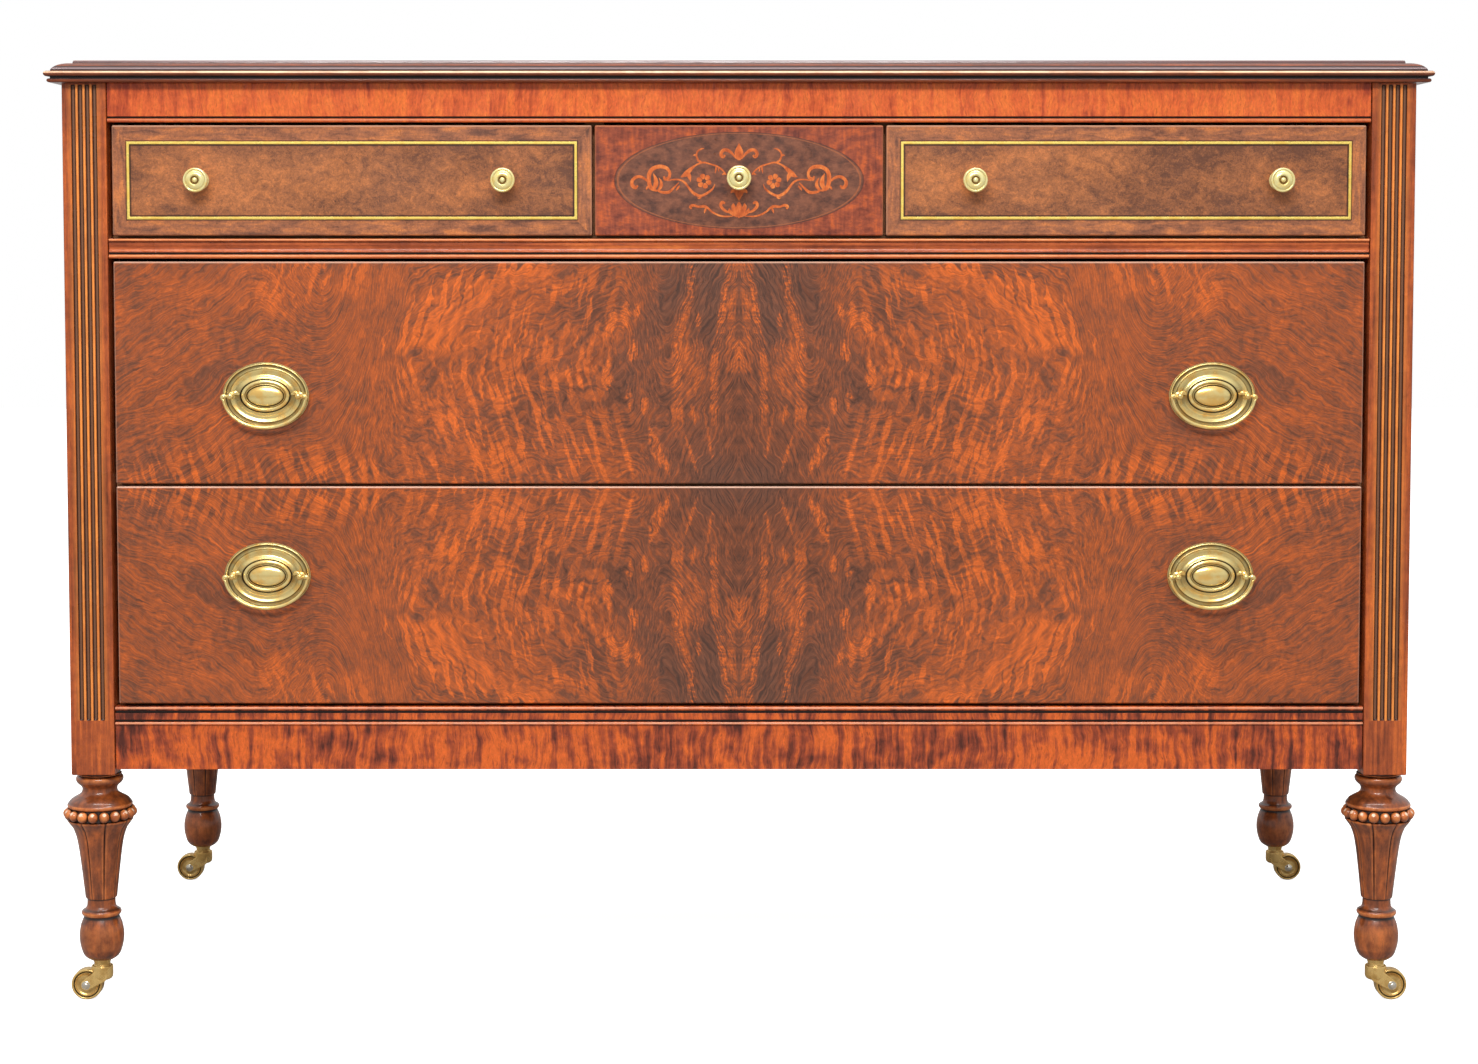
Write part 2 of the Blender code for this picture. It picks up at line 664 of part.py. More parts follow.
def add_frames():
    """Each frame closes off the space below a drawer and carries it."""
    waist_seat, lower_seat = SMALL_FOOT - GAP, LOWER_FOOT - GAP
    levels = {"waist_frame": (WAIST_FOOT, waist_seat), "mid_frame": (BLADE_FOOT, BLADE_TOP),
              "bottom_frame": (lower_seat - BLADE_THICKNESS, lower_seat)}
    for name, (foot, top) in levels.items():
        frame = join(prism_z(frame_outline(), foot, top), guide_strips(top))
        hollow = box((-HALF_OPENING + FRAME_RAIL, FRAME_Y + FRAME_RAIL, foot - FRAME_RAIL),
                     (HALF_OPENING - FRAME_RAIL, INNER_BACK_Y - FRAME_RAIL, top - DUST_PANEL))
        place(name, cut(frame, [hollow]), "inner_wood")


def add_partitions():
    for hand, side in (("left", -1), ("right", 1)):
        low_x = side * PARTITION_X - PARTITION_THICKNESS / 2
        place(f"partition_{hand}", box((low_x, FRAME_Y, SMALL_FOOT),
                                       (low_x + PARTITION_THICKNESS, INNER_BACK_Y, CASE_TOP)),
              "inner_wood")


# Drawers

def tail_middles(foot, top):
    """Heights of the dovetails' middles on a box side."""
    count = max(2, round((top - foot) / TAIL_SPACING))
    pitch = (top - foot) / count
    return [foot + (k + 0.5) * pitch for k in range(count)], pitch * TAIL_SHARE


def side_outline(foot, top):
    """A box side with its dovetails at the front, as (y, z)."""
    start = FRONT_BACK_Y + GAP
    tip = FRONT_BACK_Y - TAIL_LENGTH
    outline = [(start, foot), (BOX_BACK_Y, foot), (BOX_BACK_Y, top), (start, top)]
    middles, half = tail_middles(foot, top)
    wide = half + TAIL_LENGTH * TAIL_SLOPE
    for middle in reversed(middles):
        outline += [(start, middle + half), (tip, middle + wide), (tip, middle - wide),
                    (start, middle - half)]
    return outline


def tail_sockets(side_x0, side_x1, foot, top):
    """Cutters for one side's dovetails in the back of the front board."""
    middles, half = tail_middles(foot, top)
    start = FRONT_BACK_Y + TAIL_LENGTH / 2
    tip = FRONT_BACK_Y - TAIL_LENGTH - GAP
    near = half + GAP - TAIL_SLOPE * TAIL_LENGTH / 2
    far = half + GAP + TAIL_SLOPE * (TAIL_LENGTH + GAP)
    return [prism_x([(start, middle - near), (start, middle + near), (tip, middle + far),
                     (tip, middle - far)], side_x0 - GAP, side_x1 + GAP) for middle in middles]


def bottom_box(box_x, foot, grow=0.0):
    """The bottom board, held in grooves of the front and sides."""
    inset = SIDE_THICKNESS - BOTTOM_GROOVE
    raised = foot + BOTTOM_RAISE
    return box((box_x[0] + inset, FRONT_BACK_Y - BOTTOM_GROOVE, raised),
               (box_x[1] - inset, BOX_BACK_Y, raised + BOTTOM_THICKNESS), grow)


def drawer_box(box_x, foot, top):
    """Two dovetailed sides and the back that joins them."""
    sides = [prism_x(side_outline(foot, top), x, x + SIDE_THICKNESS)
             for x in (box_x[0], box_x[1] - SIDE_THICKNESS)]
    root = SIDE_THICKNESS / 2
    back = box((box_x[0] + root, BOX_BACK_Y - DRAWER_BACK_INSET - SIDE_THICKNESS,
                foot + BOTTOM_RAISE + BOTTOM_THICKNESS + GAP),
               (box_x[1] - root, BOX_BACK_Y - DRAWER_BACK_INSET, top - DRAWER_BACK_DROP))
    return cut(join(sides[0], [back, sides[1]]), [bottom_box(box_x, foot, GAP)])


def drawer_front(front_x, front_z, box_x, box_z, holes):
    """The face board with its sockets, bottom groove and blind holes for the fittings."""
    board = bevelled(box((front_x[0], FACE_Y, front_z[0]), (front_x[1], FRONT_BACK_Y, front_z[1])),
                     FRONT_EDGE)
    cutters = [bottom_box(box_x, box_z[0], GAP)]
    for x in (box_x[0], box_x[1] - SIDE_THICKNESS):
        cutters += tail_sockets(x, x + SIDE_THICKNESS, *box_z)
    for x, z in holes:
        cutters.append(rod_y(x, z, SHANK_DIAMETER + 2 * GAP, FACE_Y - GAP,
                             FACE_Y + SHANK_LENGTH + GAP))
    return cut(board, cutters)


def add_drawer(name, front_x, front_z, box_x, box_z, holes, finish):
    """One drawer on an empty at the middle of its face; returns the empty."""
    middle = ((front_x[0] + front_x[1]) / 2, FACE_Y, (front_z[0] + front_z[1]) / 2)
    slide = pivot(f"{name}_slide", middle)
    pieces = {"front": (drawer_front(front_x, front_z, box_x, box_z, holes), finish),
              "box": (drawer_box(box_x, *box_z), "inner_wood"),
              "bottom": (bottom_box(box_x, box_z[0]), "inner_wood")}
    for part, (mesh, surface) in pieces.items():
        piece = place(f"{name}_{part}", mesh, surface, parent=slide)
        piece.location = [-value for value in middle]
    return slide


# Knobs and pulls, modelled with their back at the drawer face and facing -Y

def facing_front(mesh):
    """Turns a mesh made round +Z to face -Y."""
    for vertex in mesh.vertices:
        x, y, z = vertex.co
        vertex.co = (x, -z, y)
    return mesh


def knob_mesh():
    """Shank, flange, neck and a dished head with a small button, from the shank's tip out."""
    head = KNOB_DIAMETER / 2
    back = KNOB_PROJECTION - KNOB_HEAD_THICKNESS
    face = KNOB_PROJECTION - KNOB_HEAD_THICKNESS / 4
    flange = KNOB_FLANGE_DIAMETER / 2
    button = KNOB_BUTTON_DIAMETER / 2
    profile = [(0, -SHANK_LENGTH), (SHANK_DIAMETER / 2, -SHANK_LENGTH), (SHANK_DIAMETER / 2, GAP),
               (flange, GAP), (flange, KNOB_FLANGE_THICKNESS / 2),
               (flange * KNOB_FLANGE_SHOULDER, KNOB_FLANGE_THICKNESS),
               (KNOB_NECK_DIAMETER / 2, back / 2), (head * KNOB_HEAD_BACK, back),
               (head, (back + face) / 2), (head * KNOB_HEAD_FACE, face),
               (button * KNOB_BUTTON_SEAT, face), (button, face - KNOB_HEAD_THICKNESS / 12),
               (button * KNOB_FLANGE_SHOULDER, KNOB_PROJECTION), (0, KNOB_PROJECTION)]
    return facing_front(turned(profile, BORE_COLUMNS))


def oval(width, height, depth):
    """An upright oval ring that stands ahead of the drawer face."""
    return [(x, -depth, z) for x, z in arc((0, 0), (width / 2, height / 2), 0, 360,
                                           PLATE_COLUMNS)[:-1]]


def plate_rings():
    """Rim bead, dished band, medallion ring and dome, from the back edge to the middle."""
    rim, ring, crown = PLATE_RIM_WIDTH, MEDAL_RING, PLATE_CROWN
    dish_x = (PLATE_WIDTH - 2 * rim + MEDAL_WIDTH) / 2
    dish_z = (PLATE_HEIGHT - 2 * rim + MEDAL_HEIGHT) / 2
    step = 2 * (rim + PLATE_STEP_WIDTH)
    return [oval(PLATE_WIDTH, PLATE_HEIGHT, GAP),
            oval(PLATE_WIDTH, PLATE_HEIGHT, PLATE_RIM * PLATE_STEP),
            oval(PLATE_WIDTH - rim, PLATE_HEIGHT - rim, PLATE_RIM),
            oval(PLATE_WIDTH - 2 * rim, PLATE_HEIGHT - 2 * rim, PLATE_RIM / 2),
            oval(PLATE_WIDTH - step, PLATE_HEIGHT - step, PLATE_SHOULDER),
            oval(dish_x, dish_z, PLATE_DISH),
            oval(MEDAL_WIDTH + ring / 2, MEDAL_HEIGHT + ring / 2, crown * PLATE_STEP),
            oval(MEDAL_WIDTH - ring, MEDAL_HEIGHT - ring, crown),
            oval(MEDAL_WIDTH - 3 * ring, MEDAL_HEIGHT - 3 * ring, crown * PLATE_STEP),
            [(0.0, -MEDAL_CROWN, 0.0)]]


def pull_post(x):
    """Shank, stem and eye of one post, along the line that carries the bail."""
    eye = PULL_EYE_DIAMETER / 2
    stem = PULL_POST_DIAMETER / 2
    head = [(max(r, 0), h) for r, h in arc((0, PULL_PROJECTION), (eye, eye), -40, 90, 3)]
    profile = [(0, -SHANK_LENGTH), (SHANK_DIAMETER / 2, -SHANK_LENGTH),
               (SHANK_DIAMETER / 2, 2 * GAP), (stem, 3 * GAP), (stem, head[0][1] - GAP), *head]
    post = facing_front(turned(profile, POST_COLUMNS))
    for vertex in post.vertices:
        vertex.co.x += x
    return post


def plate_mesh():
    posts = [pull_post(side * PULL_POST_X) for side in (-1, 1)]
    eyes = [rod_x(-PULL_PROJECTION, 0, BAIL_PIN_DIAMETER + 2 * GAP,
                  side * PULL_POST_X - PULL_EYE_DIAMETER, side * PULL_POST_X + PULL_EYE_DIAMETER)
            for side in (-1, 1)]
    return cut(join(loft(plate_rings()), posts), eyes)


def bail_path():
    """Centre line and diameter of the bail in its own plane, from pin to pin."""
    reach = PULL_POST_X + BAIL_REACH
    inner = PULL_POST_X - PULL_EYE_DIAMETER / 2
    neck = reach - BAIL_BALL_DIAMETER / 2
    half = [((inner, 0), BAIL_PIN_DIAMETER), ((neck, 0), BAIL_PIN_DIAMETER),
            ((neck + BAIL_BALL_DIAMETER / 6, 0), BAIL_BALL_DIAMETER),
            ((reach + BAIL_BALL_DIAMETER / 6, -BAIL_BALL_DIAMETER / 4), BAIL_BALL_DIAMETER),
            ((reach, -BAIL_BALL_DIAMETER / 2), BAIL_END_DIAMETER)]
    sag = []
    for k in range(1, BAIL_STEPS // 2):
        turn = math.pi * k / BAIL_STEPS
        share = math.sin(turn)
        diameter = BAIL_END_DIAMETER + (BAIL_DIAMETER - BAIL_END_DIAMETER) * share
        sag.append(((reach * math.cos(turn), -BAIL_DROP * share), diameter))
    right = half + sag
    left = [((-x, z), diameter) for (x, z), diameter in reversed(right)]
    return right + [((0, -BAIL_DROP), BAIL_DIAMETER)] + left


def bail_mesh():
    """A round bar swept along the bail's line, thicker at the bottom."""
    path = bail_path()
    rings = []
    for k, ((x, z), diameter) in enumerate(path):
        (x0, z0), (x1, z1) = path[max(k - 1, 0)][0], path[min(k + 1, len(path) - 1)][0]
        length = math.hypot(x1 - x0, z1 - z0)
        across = (-(z1 - z0) / length, (x1 - x0) / length)
        section = arc((0, 0), (diameter / 2, diameter / 2), 0, 360, BAIL_SIDES)[:-1]
        rings.append([(x + u * across[0], v, z + u * across[1]) for u, v in section])
    return loft(rings)


def add_knobs(name, places, mesh, slide):
    hands = ("left", "right") if len(places) > 1 else ("",)
    for hand, (x, z) in zip(hands, places):
        knob = place("_".join(part for part in (name, "knob", hand) if part), mesh,
                     "polished_brass", (x, FACE_Y, z), parent=slide)
        smooth(knob, 50)


def add_pulls(name, places, plate, bail, slide):
    for hand, (x, z) in zip(("left", "right"), places):
        smooth(place(f"{name}_pull_{hand}", plate, "antique_brass", (x, FACE_Y, z), parent=slide))
        smooth(place(f"{name}_bail_{hand}", bail, "antique_brass",
                     (x, FACE_Y - PULL_PROJECTION, z), parent=slide), 60)


def add_small_drawers():
    knob = knob_mesh()
    front_z = (SMALL_FOOT, SMALL_TOP)
    box_z = (SMALL_FOOT, SMALL_TOP - BOX_TOP_DROP)
    middle = (SMALL_FOOT + SMALL_TOP) / 2
    near = PARTITION_X + PARTITION_THICKNESS / 2 + GUIDE_GAP
    inner = PARTITION_X - PARTITION_THICKNESS / 2 - GUIDE_GAP
    edge = HALF_CENTRE + SMALL_DRAWER_GAP
    for hand, side in (("left", -1), ("right", 1)):
        front_x = sorted((side * edge, side * HALF_FRONTS))
        box_x = sorted((side * near, side * HALF_FRONTS))
        centre = side * (edge + HALF_FRONTS) / 2
        places = [(centre - KNOB_SPREAD / 2, middle), (centre + KNOB_SPREAD / 2, middle)]
        name = f"{hand}_drawer"
        slide = add_drawer(name, front_x, front_z, box_x, box_z, places, "burl_veneer")
        add_knobs(name, places, knob, slide)
    places = [(0, middle + CENTRE_KNOB_RISE)]
    slide = add_drawer("centre_drawer", (-HALF_CENTRE, HALF_CENTRE), front_z, (-inner, inner),
                       box_z, places, "centre_veneer")
    add_knobs("centre_drawer", places, knob, slide)


def add_long_drawers():
    plate, bail = plate_mesh(), bail_mesh()
    seats = {"upper_drawer": ((UPPER_FOOT, UPPER_TOP), (BLADE_TOP + GAP, UPPER_TOP - BOX_TOP_DROP),
                              UPPER_PULL_RISE),
             "lower_drawer": ((LOWER_FOOT, LOWER_TOP), (LOWER_FOOT, BLADE_FOOT - BOX_TOP_DROP),
                              LOWER_PULL_RISE)}
    wide = (-HALF_FRONTS, HALF_FRONTS)
    for name, (front_z, box_z, rise) in seats.items():
        places = [(side * PULL_X, front_z[0] + rise) for side in (-1, 1)]
        holes = [(x + side * PULL_POST_X, z) for x, z in places for side in (-1, 1)]
        slide = add_drawer(name, wide, front_z, wide, box_z, holes, "crotch_veneer")
        add_pulls(name, places, plate, bail, slide)


# Legs

def petal_ring(diameter, height):
    """A ring of the vase, drawn in between its petals; one petal faces the front."""
    ring = circle(diameter / 2, height, 2 * VASE_PETALS)
    inner = circle(diameter / 2 - PETAL_DEPTH, height, 2 * VASE_PETALS)
    return [sunk if k % 2 else outer for k, (outer, sunk) in enumerate(zip(ring, inner))]


def bead_ring(height, rise):
    """A ring through the row of beads, at a height above or below their centres."""
    radius = BEAD_DIAMETER / 2
    centre = BEAD_RING_DIAMETER / 2
    pitch = 2 * math.pi / BEAD_COUNT
    ring = []
    for k in range(BEAD_COUNT * BEAD_COLUMNS):
        turn = k * pitch / BEAD_COLUMNS
        off = (turn % pitch) - pitch / 2
        aside = centre * math.sin(off)
        out = math.sqrt(max(radius ** 2 - aside ** 2 - rise ** 2, 0))
        reach = centre * math.cos(off) + out
        ring.append((reach * math.cos(turn), reach * math.sin(turn), height + rise))
    return ring


def shaped(shape, diameter, foot, height):
    """Rows of (radius, level) from an outline given in shares."""
    return [(diameter / 2 * across, foot + height * up) for across, up in shape]


def leg_rings():
    """The turned leg from its foot up to its tenon; heights from the leg's foot."""
    hole = SOCKET_DIAMETER / 2 + GAP
    rings = [circle(radius, level, SMALL_COLUMNS)
             for radius, level in ((0, SOCKET_DEPTH + GAP), (hole, SOCKET_DEPTH + GAP), (hole, 0))]
    rows = shaped(BARREL_SHAPE, BARREL_DIAMETER, 0, BARREL_HEIGHT)
    height = BARREL_HEIGHT
    ankle = ANKLE_DIAMETER / 2
    round_over = ANKLE_HEIGHT / 2
    rows += arc((ankle - round_over, height + round_over), (round_over, round_over), -60, 60, 2)
    height += ANKLE_HEIGHT
    rows += [(COLLAR_DIAMETER / 2, height), (COLLAR_DIAMETER / 2, height + COLLAR_HEIGHT)]
    height += COLLAR_HEIGHT
    rings += [circle(radius, level, LEG_COLUMNS) for radius, level in rows]
    spread = VASE_TOP_DIAMETER - VASE_FOOT_DIAMETER
    for flare, share in VASE_SHAPE:
        rings.append(petal_ring(VASE_FOOT_DIAMETER + spread * flare, height + VASE_HEIGHT * share))
    height += VASE_HEIGHT
    radius = BEAD_DIAMETER / 2
    for share in BEAD_LEVELS:
        rings.append(bead_ring(height + radius, radius * share))
    height += BEAD_DIAMETER
    rows = shaped(DISC_SHAPE, DISC_DIAMETER, height, NECK_HEIGHT)
    rows += shaped(NECK_SHAPE, NECK_DIAMETER, height, NECK_HEIGHT)
    height += NECK_HEIGHT
    roll = CAPITAL_HEIGHT * CAPITAL_ROLL
    rows += arc((CAPITAL_DIAMETER / 2 - roll, height + roll), (roll, roll), -70, 70, 2)
    rows += shaped(CAPITAL_SHAPE, CAPITAL_DIAMETER, height, CAPITAL_HEIGHT)
    height += CAPITAL_HEIGHT
    rings += [circle(radius, level, LEG_COLUMNS) for radius, level in rows]
    tenon = TENON_DIAMETER / 2
    return rings + [circle(radius, level, SMALL_COLUMNS) for radius, level in
                    ((tenon, height), (tenon, height + LEG_TENON), (0, height + LEG_TENON))]


def add_legs():
    leg = loft(leg_rings())
    for name, x, y in leg_places():
        smooth(place(f"{name}_leg", leg, "turned", (x, y, LEG_FOOT)), 35)


# Casters, modelled round their swivel axis with the wheel trailing along -X

def socket_mesh():
    """A brass tube with a collar under the leg; heights from the collar's underside."""
    bore = STEM_DIAMETER / 2 + GAP
    outer, collar = SOCKET_DIAMETER / 2, SOCKET_COLLAR_DIAMETER / 2
    top = SOCKET_COLLAR_HEIGHT + SOCKET_DEPTH
    edge = SOCKET_COLLAR_HEIGHT * SOCKET_EDGE
    inside = [(0, STEM_LENGTH + GAP), (bore, STEM_LENGTH + GAP), (bore, 0), (collar - edge, 0),
              (collar, edge), (collar, SOCKET_COLLAR_HEIGHT)]
    sleeve = [(outer, SOCKET_COLLAR_HEIGHT), (outer, top), (0, top)]
    return loft([circle(*point, BORE_COLUMNS) for point in inside]
                + [circle(*point, SMALL_COLUMNS) for point in sleeve])


def cheek_outline():
    """A bar from the boss down to the axle, wide at the boss and round at the axle."""
    axle = (-CASTER_TRAIL, WHEEL_DIAMETER / 2)
    end = CHEEK_END_DIAMETER / 2
    root = BOSS_DIAMETER * CHEEK_ROOT
    centre = (0.0, BOSS_TOP - root - CHEEK_THICKNESS)
    slope = math.degrees(math.atan2(centre[1] - axle[1], centre[0] - axle[0]))
    spread = math.degrees(math.acos((end - root) / math.dist(axle, centre)))
    return arc(centre, (root, root), slope - spread, slope + spread, 4) + arc(
        axle, (end, end), slope + spread, slope + 360 - spread, 4)


def horn_mesh():
    """Boss, two cheeks either side of the wheel, axle and swivel stem in one casting."""
    wheel = WHEEL_DIAMETER / 2
    inside = WHEEL_WIDTH / 2 + WHEEL_SIDE_GAP
    outside = inside + CHEEK_THICKNESS
    boss = BOSS_DIAMETER / 2
    foot = wheel + AXLE_DIAMETER
    edge = boss * BOSS_EDGE
    body = turned([(0, foot), (boss - edge, foot), (boss, foot + edge),
                   (boss, BOSS_TOP - GAP), (0, BOSS_TOP - GAP)], BORE_COLUMNS)
    cheeks = prism_y(cheek_outline(), -outside, outside)
    slot = rod_y(-CASTER_TRAIL, wheel, WHEEL_DIAMETER + 4 * WHEEL_SIDE_GAP, -inside, inside,
                 ROUND_COLUMNS)
    axle = rod_y(-CASTER_TRAIL, wheel, AXLE_DIAMETER, -outside - WHEEL_SIDE_GAP,
                 outside + WHEEL_SIDE_GAP)
    stem = turned([(0, BOSS_TOP - CHEEK_THICKNESS), (STEM_DIAMETER / 2, BOSS_TOP - CHEEK_THICKNESS),
                   (STEM_DIAMETER / 2, BOSS_TOP + STEM_LENGTH - GAP),
                   (0, BOSS_TOP + STEM_LENGTH - GAP)], SMALL_COLUMNS)
    return join(cut(join(body, [cheeks]), [slot]), [axle, stem])


def wheel_mesh():
    """A brass wheel with dished faces, round its own axle along Y.

    Its flats lie on the true circle and one of them is on the floor.
    """
    half = WHEEL_WIDTH / 2
    rim, hub = WHEEL_DIAMETER / 2, AXLE_DIAMETER
    bore = AXLE_DIAMETER / 2 + GAP
    face = [(bore, half), (hub, half), (rim - WHEEL_RIM, half - WHEEL_DISH),
            (rim - WHEEL_RIM, half), (rim, half * WHEEL_EDGE)]
    profile = face + [(radius, -height) for radius, height in reversed(face)]
    corner = 1 / math.cos(math.pi / ROUND_COLUMNS)
    rings = [circle(radius * corner, height, ROUND_COLUMNS, 0.5) for radius, height in profile]
    points = [point for ring in rings for point in ring]
    count = len(rings)
    numbered = [list(range(k * ROUND_COLUMNS, (k + 1) * ROUND_COLUMNS)) for k in range(count)]
    faces = []
    for k in range(count):
        faces += strip(numbered[k], numbered[(k + 1) % count])
    return facing_front(make_mesh(points, faces))


def add_casters():
    socket, horn, wheel = socket_mesh(), horn_mesh(), wheel_mesh()
    for name, x, y in leg_places():
        turn = math.pi if x > 0 else 0.0
        outward = math.copysign(CASTER_TRAIL, x)
        collar = BOSS_TOP + GAP
        smooth(place(f"{name}_caster_socket", socket, "antique_brass", (x, y, collar)))
        swivel = pivot(f"{name}_caster_swivel", (x, y, 0))
        smooth(place(f"{name}_caster_horn", horn, "antique_brass", (x, y, 0), turn, swivel), 30)
        smooth(place(f"{name}_caster_wheel", wheel, "antique_brass",
                     (x + outward, y, WHEEL_DIAMETER / 2), parent=swivel), 30)


def build():
    for existing in list(bpy.data.objects):
        bpy.data.objects.remove(existing)
    add_top()
    add_rails()
    add_posts()
    add_panels()
    add_frames()
    add_partitions()
    add_small_drawers()
    add_long_drawers()
    add_legs()
    add_casters()


build()
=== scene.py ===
"""Looks of the dresser: fine turnings, mouldings, brass and inlay over the frame, and its woods.

Shapes are given in millimetres in the frame's own axes; the front faces -Y.
"""

import math

import bmesh
import bpy
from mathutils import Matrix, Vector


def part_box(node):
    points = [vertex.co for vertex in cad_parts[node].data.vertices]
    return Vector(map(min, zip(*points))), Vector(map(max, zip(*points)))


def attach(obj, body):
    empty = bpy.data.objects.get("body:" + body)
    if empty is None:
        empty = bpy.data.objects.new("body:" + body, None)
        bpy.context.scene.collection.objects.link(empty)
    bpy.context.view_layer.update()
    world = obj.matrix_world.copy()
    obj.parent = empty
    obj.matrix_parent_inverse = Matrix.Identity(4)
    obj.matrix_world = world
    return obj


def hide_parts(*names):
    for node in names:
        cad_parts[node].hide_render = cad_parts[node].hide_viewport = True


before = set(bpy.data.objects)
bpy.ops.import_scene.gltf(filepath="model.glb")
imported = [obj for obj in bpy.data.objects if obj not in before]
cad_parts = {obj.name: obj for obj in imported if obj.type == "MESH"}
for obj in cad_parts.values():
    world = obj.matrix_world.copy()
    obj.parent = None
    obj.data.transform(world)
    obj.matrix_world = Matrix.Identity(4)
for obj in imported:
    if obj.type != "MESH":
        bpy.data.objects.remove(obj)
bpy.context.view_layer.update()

MM = 0.001


def span(node):
    """Lowest and highest corner of a node of the frame, in millimetres."""
    low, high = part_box(node)
    return [value / MM for value in low], [value / MM for value in high]


def middle(node):
    low, high = span(node)
    return [(a + b) / 2 for a, b in zip(low, high)]


# Places taken from the frame

FRONT_Y = span("front_post_left")[0][1]
FACE_Y = span("upper_drawer_front")[0][1]
HALF_OPENING = span("front_post_right")[0][0]
SPLIT_Z = (span("lower_drawer_front")[1][2] + span("upper_drawer_front")[0][2]) / 2
SMALL_Z = middle("centre_drawer_front")[2]


# Meshes

def mesh_of(points, faces):
    """A mesh from points in millimetres, with its faces pointing out."""
    mesh = bpy.data.meshes.new("piece")
    mesh.from_pydata([(x * MM, y * MM, z * MM) for x, y, z in points], [], faces)
    work = bmesh.new()
    work.from_mesh(mesh)
    bmesh.ops.recalc_face_normals(work, faces=work.faces)
    work.to_mesh(mesh)
    work.free()
    return mesh


def lofted(rings, closed=False):
    """Points and faces of a solid through rings of equal counts; a ring of one point is a pole."""
    points, numbered = [], []
    for ring in rings:
        numbered.append(range(len(points), len(points) + len(ring)))
        points.extend(ring)
    pairs = list(zip(numbered, numbered[1:]))
    if closed:
        pairs.append((numbered[-1], numbered[0]))
    faces = []
    for a, b in pairs:
        count = max(len(a), len(b))
        for k in range(count):
            n = (k + 1) % count
            if len(a) == 1:
                faces.append((a[0], b[n], b[k]))
            elif len(b) == 1:
                faces.append((a[k], a[n], b[0]))
            else:
                faces.append((a[k], a[n], b[n], b[k]))
    if not closed:
        faces += [tuple(ring) for ring in (numbered[0], numbered[-1]) if len(ring) > 2]
    return points, faces


def gathered(solids):
    """Several solids as one list of points and one of faces."""
    points, faces = [], []
    for more_points, more_faces in solids:
        start = len(points)
        points += more_points
        faces += [tuple(index + start for index in face) for face in more_faces]
    return points, faces


def moved(solid, offset, mirror_x=False):
    points, faces = solid
    sign = -1 if mirror_x else 1
    return [(sign * x + offset[0], y + offset[1], z + offset[2]) for x, y, z in points], faces


def turns(count):
    """Evenly spaced angles round a circle."""
    return [2 * math.pi * k / count for k in range(count)]


def turn_ring(radius, height, columns):
    if radius <= 0:
        return [(0.0, 0.0, height)]
    return [(radius * math.cos(t), radius * math.sin(t), height) for t in turns(columns)]


def turning(profile, columns):
    """A solid of revolution round Z from (radius, height) rows."""
    return lofted([turn_ring(radius, height, columns) for radius, height in profile])


def painted_turning(rows, columns, closed=False):
    """A solid of revolution from (radius, height, paint) rows, and the paint of each point."""
    rings = [turn_ring(radius, height, columns) for radius, height, _ in rows]
    return lofted(rings, closed), [row[2] for row, ring in zip(rows, rings) for _ in ring]


def facing_front(solid):
    """Turns a solid made round +Z to face -Y."""
    points, faces = solid
    return [(x, -z, y) for x, y, z in points], faces


def arc(centre, radii, start, end, steps):
    """Points on an ellipse's arc; angles in degrees from the first axis."""
    angles = [math.radians(start + (end - start) * k / steps) for k in range(steps + 1)]
    return [(centre[0] + radii[0] * math.cos(t), centre[1] + radii[1] * math.sin(t))
            for t in angles]


def eased(rows, steps=4):
    """Rows joined by a smooth curve through all of them."""
    out = []
    last = len(rows) - 1
    for k in range(last):
        before, a, b, after = rows[max(k - 1, 0)], rows[k], rows[k + 1], rows[min(k + 2, last)]
        for step in range(steps):
            t = step / steps
            out.append(tuple(
                q + t * ((r - p) / 2 + t * (p - 2.5 * q + 2 * r - s / 2
                                            + t * (1.5 * (q - r) + (s - p) / 2)))
                for p, q, r, s in zip(before, a, b, after)))
    out.append(tuple(rows[last]))
    return out


def add_piece(name, solid, material, body, replaces=(), angle=35, weighted=False,
              wear_and_light=None):
    """A new piece that rides on a body and stands for the nodes that it replaces."""
    piece = bpy.data.objects.new(name, mesh_of(*solid))
    bpy.context.scene.collection.objects.link(piece)
    piece.data.materials.append(material)
    piece.data.shade_smooth()
    piece.data.set_sharp_from_angle(angle=math.radians(angle))
    if weighted:
        modifier = piece.modifiers.new("even shading", "WEIGHTED_NORMAL")
        modifier.keep_sharp = True
    if wear_and_light:
        layer = piece.data.attributes.new("wear_and_light", "FLOAT", "POINT")
        layer.data.foreach_set("value", wear_and_light)
    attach(piece, body)
    if replaces:
        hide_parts(*replaces)
    return piece


# Materials

def srgb(red, green, blue):
    """A colour from its display values, 0 to 255."""
    def linear(value):
        share = value / 255
        return share / 12.92 if share <= 0.04045 else ((share + 0.055) / 1.055) ** 2.4
    return (linear(red), linear(green), linear(blue), 1.0)


LACQUER = {"specular": 0.40}
# Dark glaze colours; where they darken recesses they also stand for painted shade.
GLAZE_AND_SHADE = srgb(34, 16, 10)
CARVED_GLAZE_AND_SHADE = srgb(40, 22, 16)
MOULDED_GLAZE_AND_SHADE = srgb(46, 24, 16)
DUST = srgb(142, 106, 80)


class Value:
    """What a node gives out; a sum, difference or product of values is a new node."""

    def __init__(self, graph, socket):
        self.graph, self.socket = graph, socket

    def __add__(self, other):
        return self.graph.calc("ADD", self, other)

    def __sub__(self, other):
        return self.graph.calc("SUBTRACT", self, other)

    def __rsub__(self, other):
        return self.graph.calc("SUBTRACT", other, self)

    def __mul__(self, other):
        return self.graph.calc("MULTIPLY", self, other)

    def __abs__(self):
        return self.graph.calc("ABSOLUTE", self)


